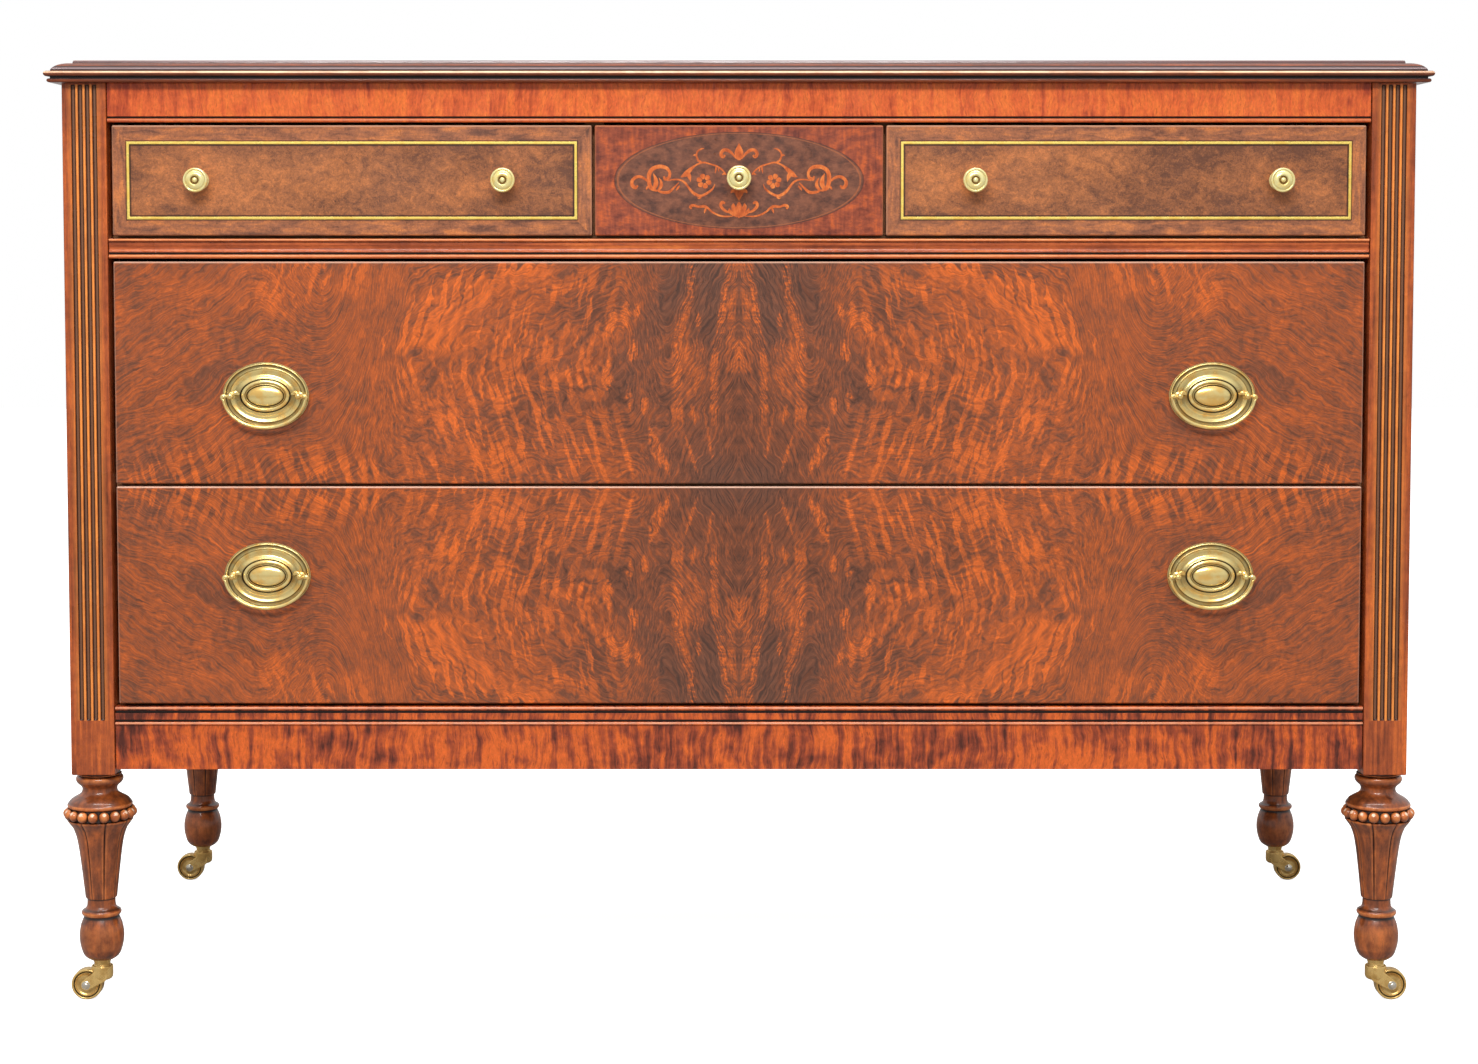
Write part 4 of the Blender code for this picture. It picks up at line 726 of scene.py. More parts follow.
def top_profile():
    """The moulded edge as (inset from the bead, height above the board's foot, wear and painted
    light).
    """
    # A painted sheen lies at the ovolo's foot and on the lower bead's top, grey dust with a painted
    # sheen on the step face, and a painted highlight on the upper bead's top with darker paint
    # below.
    ovolo_wear_and_sheen = (0.5,) * 9 + (0.4, -0.2, -0.6, -0.7, -0.7, -0.5)
    bead_wear_and_highlight = (0.2, 0.45, 0.6, 1.0, 1.0, 1.0, 0.9, 0.6, 0.5, 0.4, 0.3, 0.2, 0.15, 0.1, 0.0)
    foot_wear_and_sheen = (0.0, -0.6, -0.9, -0.8) + (0.55,) * 9
    return [(24.5, 21.0, 0.5), (23.2, 21.0, 0.5), (22.6, 20.85, 0.55), (22.25, 20.6, 0.5),
            (22.22, 20.55, -0.6), (21.95, 19.4, -0.9), (21.85, 18.9, -0.4), (21.8, 18.75, 0.0),
            (21.7, 18.45, 0.0),
            *with_wear_and_light(arc((21.4, 9.2), (16.7, 9.2), 90, 164.3, 14), ovolo_wear_and_sheen),
            (5.3, 11.5, 0.1), (5.3, 10.6, 0.0), (5.1, 10.4, 0.0), (3.2, 10.4, 0.3),
            *with_wear_and_light(arc((2.5, 7.9), (2.5, 2.5), 90, 270, 14), bead_wear_and_highlight),
            (5.0, 5.4, 0.0), (5.0, 3.6, 0.0),
            *with_wear_and_light(arc((4.3, 1.8), (1.8, 1.8), 90, 270, 12), foot_wear_and_sheen)]


def add_top():
    low, high = span("top")
    corner, near = 0.8, 0.24
    rings, wear_and_light = [], []
    for inset, height, worn_and_lit in top_profile():
        x0, x1, y0 = low[0] + inset, high[0] - inset, low[1] + inset
        rings.append([(x, y, low[2] + height) for x, y in (
            (x0, y0 + corner), (x0 + near, y0 + near), (x0 + corner, y0), (x1 - corner, y0),
            (x1 - near, y0 + near), (x1, y0 + corner), (x1, high[1]), (x0, high[1]))])
        wear_and_light += [worn_and_lit] * len(rings[-1])
    add_piece("top_board", lofted(rings), woods["board"], "case", ["top"], 30, True,
              wear_and_light)


# Rails: outlines as (depth behind the posts' face, height), up the front

def half_round(depth, foot, height):
    return arc((depth + height / 2, foot + height / 2), (height / 2, height / 2), 270, 90, 8)


def frieze_rows(foot, top):
    return [*half_round(1.0, foot, 3.6), (3.6, foot + 3.6), (3.8, foot + 4.0), (3.6, foot + 5.2),
            (2.2, foot + 5.4), (2.0, foot + 5.7), (2.0, top)]


def waist_rows(foot, top):
    hollow = arc((1.2, foot + 9.4), (1.9, 3.0), -64, 64, 8)
    return [*half_round(1.0, foot, 3.8), (4.0, foot + 3.9), (4.0, foot + 5.6), (2.2, foot + 5.7),
            (2.0, foot + 6.0), *hollow, (2.0, foot + 12.6), (2.0, top - 3.6), (3.4, top - 3.3),
            (3.4, top - 3.0), *half_round(1.0, top - 3.0, 3.0)]


def apron_rows(foot, top):
    base = top - 17.9
    return [(3.0, foot), (3.0, base), *half_round(1.0, base, 3.5), (4.2, base + 3.6),
            (4.2, base + 5.4), (2.2, base + 5.5), (2.0, base + 5.8), (2.0, base + 11.3),
            (2.2, base + 11.6), (4.2, base + 11.8), (4.2, top - 4.1),
            *half_round(1.0, top - 4.0, 4.0)]


RAILS = (("frieze_rail", frieze_rows, "frieze", "frieze_veneer"),
         ("waist_rail", waist_rows, "moulding", "moulding"),
         ("apron", apron_rows, "apron", "frieze_veneer"))
RAIL_GAP = 0.8


def rail_wear_and_light(depth, facing_up):
    """Beads get a painted highlight above and painted shade below; flat fields are plain and
    recesses dark with glaze and painted shade.
    """
    if depth < 2.0:
        bead = min(1.0, (2.0 - depth) / 0.6)
        return 0.5 + 0.5 * bead if facing_up else 0.5 - 0.25 * (1 - bead)
    return 0.5 if depth < 3.05 else max(0.0, (3.5 - depth) / 0.9)


def add_rails():
    half = HALF_OPENING - RAIL_GAP
    for node, rows, wood, slot in RAILS:
        low, high = span(node)
        outline = [(FRONT_Y + depth, height) for depth, height in rows(low[2], high[2])]
        outline += [(high[1], high[2]), (high[1], low[2])]
        rings = [[(x, y, z) for y, z in outline] for x in (-half, half)]
        wear_and_light = [rail_wear_and_light(y - FRONT_Y, ahead[0] > behind[0] - 0.01)
                for behind, (y, _), ahead in zip([outline[-1], *outline], outline,
                                                 [*outline[1:], outline[0]])]
        add_piece(f"{node}_moulded", lofted(rings), woods[wood], "case", [node], 30, True,
                  wear_and_light * 2)


# Posts

FLUTES = 4
FLUTE_RADIUS = 2.15
FLUTE_PITCH = 6.5
FLUTE_SHARE = 0.85      # a flute's depth as a share of its radius
FLUTE_TURNS = (-90, -78, -60, -42, -22, 0, 22, 42, 60, 78, 90)
FLUTE_FOOT = 51.2       # above the post's foot
FLUTE_HEAD = 1.2        # below its top
CORNER = 0.9


def flute_depth(x, z, centres, foot, head):
    nearest = min(abs(x - centre) for centre in centres)
    beyond = max(foot + FLUTE_RADIUS - z, z - head + FLUTE_RADIUS, 0.0)
    square = FLUTE_RADIUS ** 2 - nearest ** 2 - beyond ** 2
    return math.sqrt(square) * FLUTE_SHARE if square > 0 else 0.0


def flute_wear_and_shade(x, z, centres, foot, head):
    """Rubbed ridges between the flutes, flute walls darkened with glaze and painted shade, and
    dusty floors.
    """
    if not foot < z < head:
        return 0.5
    nearest = min(abs(x - centre) for centre in centres)
    if nearest > FLUTE_RADIUS + 0.01:
        return 1.0 if centres[0] < x < centres[-1] else 0.5
    if nearest > FLUTE_RADIUS * 0.97:
        return 0.75
    share = flute_depth(x, z, centres, foot, head) / (FLUTE_SHARE * FLUTE_RADIUS)
    return 0.16 if share < 0.6 else 0.16 - 1.1 * (share - 0.6) / 0.4


def add_post(hand):
    node = f"front_post_{hand}"
    (x0, y0, z0), (x1, y1, z1) = span(node)
    centre = (x0 + x1) / 2
    centres = [centre + (k - (FLUTES - 1) / 2) * FLUTE_PITCH for k in range(FLUTES)]
    columns = [x0 + 1.0, x1 - 1.0]
    columns += [centre + k * FLUTE_PITCH for k in range(1 - FLUTES // 2, FLUTES // 2)]
    columns += [middle_x + FLUTE_RADIUS * math.sin(math.radians(turn))
                for middle_x in centres for turn in FLUTE_TURNS]
    columns = sorted(set(round(x, 4) for x in columns))
    foot, head = z0 + FLUTE_FOOT, z1 - FLUTE_HEAD
    rounded = [FLUTE_RADIUS * (1 - math.cos(math.radians(t))) for t in range(0, 91, 15)]
    levels = [z0 + 0.8, foot - 0.01, *[foot + rise for rise in rounded],
              *[head - rise for rise in reversed(rounded)], head + 0.01, z1 - 0.1]
    rings, wear_and_light = [], []
    for z, shrink in [(z0, 0.7), *[(level, 0.0) for level in levels], (z1, 0.1)]:
        left, right, near = x0 + shrink, x1 - shrink, y0 + shrink
        outline = [(left, near + CORNER), (left + 0.3, near + 0.3)]
        outline += [(x, near + flute_depth(x, z, centres, foot, head)) for x in columns]
        outline += [(right - 0.3, near + 0.3), (right, near + CORNER), (right, y1 - CORNER),
                    (x1 - CORNER, y1 - shrink), (x0 + CORNER, y1 - shrink), (left, y1 - CORNER)]
        rings.append([(x, y, z) for x, y in outline])
        plain = 0.3 if shrink else 0.5
        wear_and_light += [plain] * 2 + [flute_wear_and_shade(x, z, centres, foot, head) for x in columns]
        wear_and_light += [plain] * 6
    add_piece(f"{node}_fluted", lofted(rings), woods["post"], "case", [node], 40, True,
              wear_and_light)


# Brass strings

def string_frame(x0, x1, z0, z1):
    """A rounded brass bar laid round a rectangle, standing a little proud of the face."""
    section = [(0.0, 0.4), (0.0, -0.35), (0.45, -0.75), (1.3, -0.9), (2.15, -0.75),
               (STRING_WIDTH, -0.35), (STRING_WIDTH, 0.4)]
    corners = ((x0, z0, 1, 1), (x1, z0, -1, 1), (x1, z1, -1, -1), (x0, z1, 1, -1))
    return lofted([[(x + sx * inset, FACE_Y + depth, z + sz * inset) for inset, depth in section]
                   for x, z, sx, sz in corners], closed=True)


def add_strings():
    for hand in ("left", "right"):
        low, high = span(f"{hand}_drawer_front")
        solid = string_frame(low[0] + STRING_INSET[0], high[0] - STRING_INSET[0],
                             low[2] + STRING_INSET[1], high[2] - STRING_INSET[1])
        add_piece(f"{hand}_drawer_brass_string", solid, brasses["string"], f"{hand}_drawer",
                  angle=30)


# Marquetry of the centre drawer: strokes as rows of distance out, height above the drawer's
# middle and half width; each is laid on both sides of the middle

STROKES = (
    ((0, 18.6, 1.2), (0, 22, 3.4), (0, 26, 4), (0, 30, 2.4), (0, 34.3, 0.1)),
    ((2.2, 19.8, 0.5), (6.8, 25.2, 1.2), (11, 27.9, 1.5), (14.6, 27.6, 1.5), (16.7, 24.5, 1.5),
     (14.9, 21.8, 1.6), (12.7, 23.2, 0.7)),
    ((12.5, 6.8, 0.5), (16.3, 10.4, 0.8), (20.5, 13.1, 0.8), (26.9, 15.2, 0.7), (32.2, 16.5, 0.8),
     (36.5, 15.6, 0.8), (41, 13.2, 0.9), (45.4, 9.4, 1.9), (49.2, 5.6, 2.3), (53.6, 3.2, 0.3)),
    ((35.4, 15.9, 0.5), (37.9, 19.5, 0.9), (39.1, 23.1, 0.8), (37.9, 26.7, 0.8), (34.9, 28.8, 0.7),
     (32, 29.6, 0.2)),
    ((38.9, 22, 0.5), (40.6, 23.4, 0.9), (42.2, 22.8, 0.1)),
    ((34.2, 16.4, 0.4), (36.4, 18, 0.8), (38.6, 17.6, 0.1)),
    ((11.6, 5.4, 0.4), (13.6, 6.4, 1.1), (15.6, 5.2, 0.2)),
    ((21.2, 12.6, 0.3), (21.2, 10.2, 0.8), (21.9, 6.6, 0.2)),
    ((19, 12, 0.3), (18.8, 9.6, 0.6), (18.2, 8.2, 0.2)),
    ((47, 8.4, 0.8), (46, 4.6, 1.9), (45, 1.4, 1.1), (44.6, -1.2, 0.1)),
    ((22.2, -3.2, 0.3), (24.3, -7.6, 0.8), (29, -11.4, 1.1), (34.9, -14, 1.1), (39.6, -12.9, 1.4),
     (43.8, -9.7, 1.2), (47, -5.5, 1), (50.1, -1.7, 1), (54.4, 0.6, 0.8), (60.7, 0.8, 0.7),
     (66, -0.2, 0.3)),
    ((34, -13.8, 0.5), (36.2, -16.2, 0.8), (38.6, -15.8, 0.1)),
    ((55.4, -2, 0.5), (60.7, -7.4, 1), (65, -10.8, 1.4), (71.3, -10.6, 1.2), (76, -8.6, 0.5)),
    ((75.4, -9.6, 0.8), (80.8, -6.8, 2), (82.6, -1.9, 1.9), (82.7, 5.2, 1.9), (79.8, 10.4, 1.9),
     (73.4, 12.8, 1.8), (67, 11.6, 1.6), (63.7, 7.2, 1.3), (64.7, 2.6, 1.4), (68.1, 1.4, 1.5),
     (69, 4.2, 0.5)),
    ((78.4, -8.4, 1.2), (76.4, -3, 2.2), (77, 2.4, 1.5), (78.8, 6.4, 0.2)),
    ((74.6, -9.4, 0.8), (71.6, -5, 1.6), (71.8, -0.6, 1), (73.8, 2.6, 0.1)),
    ((82, -2.6, 0.6), (88.2, 2.5, 1.2), (93.5, 3.4, 1.4), (97.8, 0.4, 1.5), (98.4, -3.8, 1.6),
     (95.6, -6.6, 1.6), (93, -4.6, 0.7)),
    ((54.6, -4.6, 0.3), (56.2, -6.8, 1), (57.8, -9.2, 0.2)),
    ((82.6, -4.4, 0.2), (84.4, -6.4, 1), (85.4, -8.4, 0.2)),
    ((0, -7.4, 3.4), (0, -11.4, 4.2), (0, -15.2, 2.2), (0, -18.8, 0.1)),
    ((2.6, -9.4, 1.4), (5.8, -9.6, 1.7), (7.6, -11.6, 0.3)),
    ((0, -34.4, 0.6), (0, -29, 2.4), (0, -23.6, 2.5), (0, -19.4, 0.4)),
    ((0.6, -33.4, 0.7), (3.6, -28.4, 1.9), (5.2, -24, 2), (5, -20.8, 0.3)),
    ((1.4, -33.2, 0.7), (5.8, -30.6, 1.5), (8.4, -28, 1.6), (9, -25.4, 0.2)),
    ((6.4, -29.8, 0.4), (11.6, -28.4, 1.1), (15.2, -25.6, 1.3), (16.9, -22.4, 1.4),
     (15.2, -20, 1.5), (12.9, -21.2, 0.8)),
    ((5, -32.6, 0.3), (12.1, -33, 0.7), (18.4, -32, 0.8), (24.8, -28.8, 0.9), (29, -25, 1),
     (32.2, -23.7, 1.3), (37.5, -24.1, 1), (41.7, -22.7, 1.2), (44.6, -23.9, 1.5),
     (43.8, -26.2, 0.6)),
    ((30.2, -24.8, 0.6), (31.2, -27.6, 1), (32, -30.2, 0.1)),
)
PROUD = 0.08
PROUD_STEP = 0.004      # keeps slips that overlap from lying in one plane
FLOWER = (32.2, -0.6)
FLOWER_PETALS = 6
PETAL_ROWS = ((1.9, 0.8), (3.6, 1.9), (5.4, 2.3), (6.9, 0.9))


def flower_strokes():
    """Petals round a hole, each as a stroke away from it."""
    strokes = []
    for k in range(FLOWER_PETALS):
        turn = 2 * math.pi * (k + 0.25) / FLOWER_PETALS
        strokes.append([(FLOWER[0] + reach * math.cos(turn), FLOWER[1] + reach * math.sin(turn),
                         half) for reach, half in PETAL_ROWS])
    return strokes


def directed(path):
    """Each row (x, z, size) of a path, with the direction across the path there."""
    for k, (x, z, size) in enumerate(path):
        (ax, az, _), (bx, bz, _) = path[max(k - 1, 0)], path[min(k + 1, len(path) - 1)]
        step = math.hypot(bx - ax, bz - az)
        yield x, z, size, (-(bz - az) / step, (bx - ax) / step)


def stroke_solid(rows, proud):
    """A thin slip of wood along a stroke, let into the drawer face."""
    return lofted([[(x + side * half * across[0], FACE_Y + depth,
                     SMALL_Z + z + side * half * across[1])
                    for side, depth in ((1, -proud), (-1, -proud), (-1, 0.2), (1, 0.2))]
                   for x, z, half, across in directed(eased(rows))])


def add_marquetry():
    solids = []
    for k, rows in enumerate([*STROKES, *flower_strokes()]):
        solid = stroke_solid(rows, PROUD + PROUD_STEP * k)
        solids.append(solid)
        if any(row[0] for row in rows):
            solids.append(moved(solid, (0, 0, 0), True))
    add_piece("centre_drawer_marquetry", gathered(solids), woods["inlay"], "centre_drawer",
              angle=30)


# Knobs: rows of radius, height above the face and patina

KNOB_ROWS = [
    (0, -12, 0.5), (2.2, -12, 0.5), (2.2, 0.3, 0.8), (9, 0.3, 0.6), (9, 1.5, 0.2), (8.7, 2.1, 0.2),
    (8.1, 2.5, 0.2), (7.3, 2.7, 0.5), (7, 3.1, 0.6), (6.4, 3.7, 0.5), (5.4, 5.2, 0.6),
    (4.7, 7, 0.6), (4.25, 9, 0.7), (4.15, 11, 0.75), (4.5, 13, 0.7), (5.8, 14.8, 0.5),
    (7.8, 15.9, 0.35), (9.6, 16.8, 0.25), (10.7, 17.8, 0.15), (11.2, 19, 0.1), (11.25, 20.2, 0.05),
    (11.05, 21.2, 0), (10.6, 21.8, 0), (10, 22, 0), (9.4, 21.9, 0.12), (8.95, 21.5, 0.45),
    (8.75, 21.5, 0.45), (8.3, 21.9, 0.1), (7.2, 22.7, 0), (6, 23.2, 0), (4.9, 23.3, 0.05),
    (4.2, 23.05, 0.35), (3.6, 22.4, 0.85), (3.3, 21.9, 1), (2.9, 21.8, 1), (2.6, 22, 0.8),
    (2.4, 22.8, 0.4), (2, 23.8, 0.1), (1.3, 24.35, 0), (0.6, 24.5, 0), (0, 24.5, 0)]


def add_knobs():
    knob, patina_and_shade = painted_turning(KNOB_ROWS, 64)
    for name in sorted(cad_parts):
        if "_knob" in name:
            x, _, z = middle(name)
            add_piece(f"{name}_turned", moved(facing_front(knob), (x, FACE_Y, z)),
                      brasses["knob"], name.split("_knob")[0], [name], 40,
                      wear_and_light=patina_and_shade)


# Oval pulls: rows of half height, rise above the face and patina; half heights and half widths

PLATE_ROWS = [
    (31, 0.3, 0.7), (31, 1.3, 0.4), (30.8, 1.65, 0.1), (30.5, 1.7, 0.2), (30.3, 1.5, 0.9),
    (30.2, 1.6, 0.9), (30, 2.2, 0.2), (29.6, 2.6, 0), (29.1, 2.6, 0), (28.7, 2.2, 0.4),
    (28.4, 1.5, 0.95), (28, 1.2, 0.85), (26.8, 1, 0.5), (25.4, 1.1, 0.5), (25, 1.5, 0.85),
    (24.8, 2.4, 0.5), (24.4, 3, 0.1), (23.8, 2.9, 0.05), (22.8, 2.35, 0.15), (21.6, 1.95, 0.2),
    (20.3, 1.8, 0.1), (19.2, 1.95, 0), (18.1, 2.4, 0), (17, 3.2, 0), (16.2, 4.1, 0.2),
    (15.7, 4.1, 0.7), (15.45, 3.3, 1), (15.3, 2.7, 1), (15.15, 2.7, 1), (15, 3.4, 0.8),
    (14.6, 4.3, 0.2), (13.9, 4.9, 0), (13, 5.2, 0), (12.2, 5.1, 0.1), (11.6, 4.6, 0.35),
    (11.2, 4, 0.8), (11, 4, 0.8), (10.8, 4.5, 0.3), (10.4, 4.6, 0.3), (10.05, 4.2, 0.8),
    (9.8, 3.3, 1), (9.6, 3.3, 1), (9.3, 4, 0.5), (8.6, 4.6, 0.1), (7.4, 5.3, 0), (5.6, 5.9, 0),
    (3.6, 6.3, 0), (1.8, 6.45, 0)]
PLATE_SPREAD = ((0.0, 0.0), (9.6, 17.0), (15.25, 22.7), (31.0, 39.8))
PLATE_COLUMNS = 112
POST_X = 31.25
PULL_AXIS = 11.0
POST_ROWS = [
    (1.8, 0), (1.8, 1.2), (3.6, 1.3), (3.9, 2), (3.5, 2.8), (2.2, 3.4), (1.7, 4.4), (1.6, 6),
    (1.9, 7.4), (2.5, 8.6), (2.85, 9.9), (2.9, 11), (2.75, 12.1), (2.3, 13.1), (1.5, 13.7),
    (0.7, 13.9), (0, 13.9)]


def spread_of(reach):
    """Half width of the oval whose half height is the reach."""
    for (r0, w0), (r1, w1) in zip(PLATE_SPREAD, PLATE_SPREAD[1:]):
        if reach <= r1:
            return w0 + (w1 - w0) * (reach - r0) / (r1 - r0)
    return PLATE_SPREAD[-1][1]


def plate_solid():
    """The stamped oval; returns its solid and the patina of each point, with painted shade on the
    dish left and right of the medallion.
    """
    rings, patina_and_shade = [], []
    for reach, rise, dark in PLATE_ROWS:
        wide = spread_of(reach)
        rings.append([(wide * math.cos(t), -rise, reach * math.sin(t))
                      for t in turns(PLATE_COLUMNS)])
        # Painted shade on the dish at the medallion's left and right.
        beside_shade = 0.6 if 15.5 < reach < 21.0 else 0.0
        patina_and_shade += [min(1.0, dark + beside_shade * abs(math.cos(t)) ** 5) for t in turns(PLATE_COLUMNS)]
    rings.append([(0.0, -6.5, 0.0)])
    return lofted(rings), patina_and_shade + [0.0]


def leaf_seat(side):
    """A small curled leaf from the medallion out to the foot of a post."""
    path = eased([(24.0, 1.2, 3.2), (26.5, 2.6, 3.9), (29.2, 2.2, 4.3), (31.6, 0.6, 4.0)], 5)
    rings = []
    for k, (x, z, rise) in enumerate(path):
        share = k / (len(path) - 1)
        wide = 0.9 + 1.1 * math.sin(math.pi * min(share * 1.1, 1.0))
        rings.append([(side * x, -(rise + 0.9 * math.sin(t)), z + wide * math.cos(t))
                      for t in turns(10)])
    return lofted(rings)


def pull_solid():
    """The oval with its posts and leaves; returns its solid and the patina, with painted shade, of
    each point.
    """
    post = facing_front(turning(POST_ROWS, 28))
    plate, patina_and_shade = plate_solid()
    solids = [plate]
    for side in (-1, 1):
        solids += [moved(post, (side * POST_X, 0, 0)), leaf_seat(side)]
    points, faces = gathered(solids)
    return (points, faces), patina_and_shade + [0.1] * (len(points) - len(patina_and_shade))


def bail_solid():
    """The round handle, thin at its ball ends and fuller at the bottom, in its own plane."""
    reach, drop = 37.9, 29.0
    path = [(28.9, 0.0, 0.85), (33.6, 0.0, 0.85), (34.4, 0.0, 0.95), (35.0, 0.0, 1.5),
            (35.9, 0.0, 1.95), (37.0, 0.0, 2.2), (38.2, -0.3, 2.2), (38.9, -1.3, 1.9),
            (38.6, -2.4, 1.4), (38.2, -3.4, 1.15)]
    for k in range(2, 28):
        turn = math.pi / 2 * k / 28
        path.append((reach * math.cos(turn), -drop * math.sin(turn),
                     1.15 + 0.55 * math.sin(turn) ** 2))
    path.append((0.0, -drop, 1.7))
    path += [(-x, z, thick) for x, z, thick in reversed(path[:-1])]
    return lofted([[(x + thick * math.cos(t) * across[0], thick * math.sin(t),
                     z + thick * math.cos(t) * across[1]) for t in turns(16)]
                   for x, z, thick, across in directed(path)])


def add_pulls():
    (pull, patina_and_shade), bail = pull_solid(), bail_solid()
    for drawer in ("upper_drawer", "lower_drawer"):
        for hand in ("left", "right"):
            x, _, z = middle(f"{drawer}_pull_{hand}")
            add_piece(f"{drawer}_pull_{hand}_plate", moved(pull, (x, FACE_Y, z)), brasses["pull"],
                      drawer, [f"{drawer}_pull_{hand}"], 50, wear_and_light=patina_and_shade)
            add_piece(f"{drawer}_bail_{hand}_swung", moved(bail, (x, FACE_Y - PULL_AXIS, z)),
                      brasses["pull"], f"{drawer}_bail_{hand}", [f"{drawer}_bail_{hand}"],
                      50)


# Legs: rows of height above the floor, radius and wear with painted light, from the foot up

# The barrel's 0.72 paints a sheen, the high values of beads and tori painted highlights, and the
# zeros in grooves glaze and painted shade.
LEG_LOW = [
    (37.9, 8.6, 0.1), (38.4, 11, 0.3), (39.8, 13.4, 0.4), (41.7, 15.6, 0.5), (43.6, 16.9, 0.5),
    (45.6, 17.8, 0.5), (49.4, 19, 0.72), (53.2, 19.9, 0.72), (57, 20.4, 0.72), (60.9, 20.57, 0.72),
    (64.7, 20.4, 0.72), (68.5, 19.8, 0.72), (72.3, 19, 0.68), (75.6, 17.8, 0.4),
    (77.6, 16.9, 0.25), (79, 16.3, 0), (79.8, 16.3, 0)]
LEG_ANKLE = [
    (80.2, 16.6, 0.1), (81, 17.4, 0.9), (82, 18.1, 1), (83.1, 18.4, 1), (84.2, 18.3, 0.9),
    (85.1, 17.8, 0.5), (85.7, 16.9, 0.2), (86.3, 15.8, 0.15), (87.1, 14.8, 0.25),
    (88.2, 13.9, 0.35), (89.6, 13.35, 0.4), (91.4, 13.1, 0.45), (93.4, 13, 0.5),
    (95.2, 12.95, 0.4), (96.4, 12.9, 0.1), (96.8, 12.95, 0)]
LEG_VASE = [
    (96.9, 13.6, 0.3), (97.2, 14.2, 0.7), (98, 14.6, 0.6), (99.1, 14.7, 0.5), (104.8, 15.3, 0.5),
    (112.5, 16.2, 0.5), (120.1, 17, 0.5), (127.7, 17.9, 0.5), (135.4, 18.8, 0.5), (143, 19.8, 0.5),
    (148.7, 20.7, 0.5), (152.5, 21.4, 0.5), (156.3, 22.3, 0.5), (160.1, 23.6, 0.5),
    (163.9, 25.1, 0.5), (167.8, 27.9, 0.5), (169.7, 29.4, 0.55), (171, 30.3, 0.75),
    (171.8, 30.4, 0.8), (172.3, 29.9, 0.3), (172.6, 29, 0)]
LEG_NECK = [
    (173.2, 28, 0), (178, 27.4, 0), (183, 28, 0), (183.6, 28.8, 0.1), (184.2, 29.4, 0.4),
    (185, 29.95, 0.9), (186, 30.1, 1), (186.9, 29.9, 1), (187.6, 29.4, 0.5), (188, 28.9, 0.28),
    (189, 28.4, 0.28), (190.6, 27.1, 0.28), (192.5, 24.4, 0.28), (194.4, 20.9, 0.28),
    (196.3, 17.9, 0.45), (198.2, 16.5, 0.5), (200.1, 16.05, 0.5), (202, 16.2, 0.5),
    (203.9, 17.4, 0.4), (205.4, 19.1, 0.45), (206.8, 20.6, 0.5), (208.4, 21.6, 0.6),
    (210.2, 21.95, 0.8), (211.8, 21.7, 1), (212.9, 20.9, 0.7), (213.5, 19.9, 0.2), (213.8, 19, 0),
    (214.1, 19.6, 0.2), (214.6, 20.3, 0.8), (215.2, 20.4, 0.9), (215.6, 19.9, 0.5),
    (215.8, 18.6, 0), (217.4, 18.6, 0)]
PETALS = 8
PETAL_TURNS = (0.0, 0.9, 1.9, 3.2, 5.5, 10.0, 16.5, 22.5, 28.5, 35.0, 39.5, 41.8, 43.1, 44.1)
BEADS = 18
BEAD_Z = 177.9
BEAD_RING = 28.9
BEAD_LEVELS = 16
BEAD_SIDES = 28


def leg_body():
    """The turned and carved leg without its beads, and its wear and painted light."""
    low, vase = len(LEG_LOW) + len(LEG_ANKLE), len(LEG_VASE)
    rings, wear_and_light = [[(0.0, 0.0, LEG_LOW[0][0])]], [0.1]
    for k, (height, radius, worn_and_lit) in enumerate(LEG_LOW + LEG_ANKLE + LEG_VASE + LEG_NECK):
        carved = low <= k < low + vase
        deep = 0.9 * min(1.0, max(0.0, (height - 98.0) / 74.0) * 2.0 + 0.2) if carved else 0.0
        ring = []
        for turn in (45.0 * petal + turn for petal in range(PETALS) for turn in PETAL_TURNS):
            off = min(turn % 45.0, 45.0 - turn % 45.0)
            cut, swell = max(0.0, 1.0 - off / 2.2), max(0.0, 1.0 - off / 9.0)
            reach = radius - deep * (1.1 * cut + 0.35 * swell)
            angle = math.radians(turn - 90.0 + 22.5)
            ring.append((reach * math.cos(angle), reach * math.sin(angle), height))
            # The petals' edges beside each groove are painted lighter as highlights, and the
            # grooves darker with glaze and painted shade.
            edge = 0.25 if 2.2 < off < 6.0 else 0.0
            wear_and_light.append(max(0.0, worn_and_lit + edge - 0.6 * cut) if carved else worn_and_lit)
        rings.append(ring)
    rings.append([(0.0, 0.0, LEG_NECK[-1][0])])
    return lofted(rings), wear_and_light + [0.0]


def bead(uneven):
    """One carved bead and its painted light: a painted highlight where it faces out and up, a pale
    painted spot at the top of that, darker behind and below.
    """
    half_deep, half_wide, half_high = 5.1, 4.85 + uneven, 5.1 + 0.5 * uneven
    rings, wear_and_light = [[(0.0, 0.0, -half_high)]], [0.2]
    for level in range(1, BEAD_LEVELS):
        tilt = math.pi * level / BEAD_LEVELS
        z = -half_high * math.cos(tilt)
        rings.append([(half_deep * math.sin(tilt) * math.cos(side),
                       half_wide * math.sin(tilt) * math.sin(side), z)
                      for side in turns(BEAD_SIDES)])
        for x, _, _ in rings[-1]:
            lit = 0.75 * x / half_deep + 0.66 * z / half_high
            wear_and_light.append(0.3 + 0.7 * max(0.0, min(1.0, lit + 0.45)) + max(0.0, lit - 0.86) * 7.0)
    rings.append([(0.0, 0.0, half_high)])
    return lofted(rings), wear_and_light + [0.2]


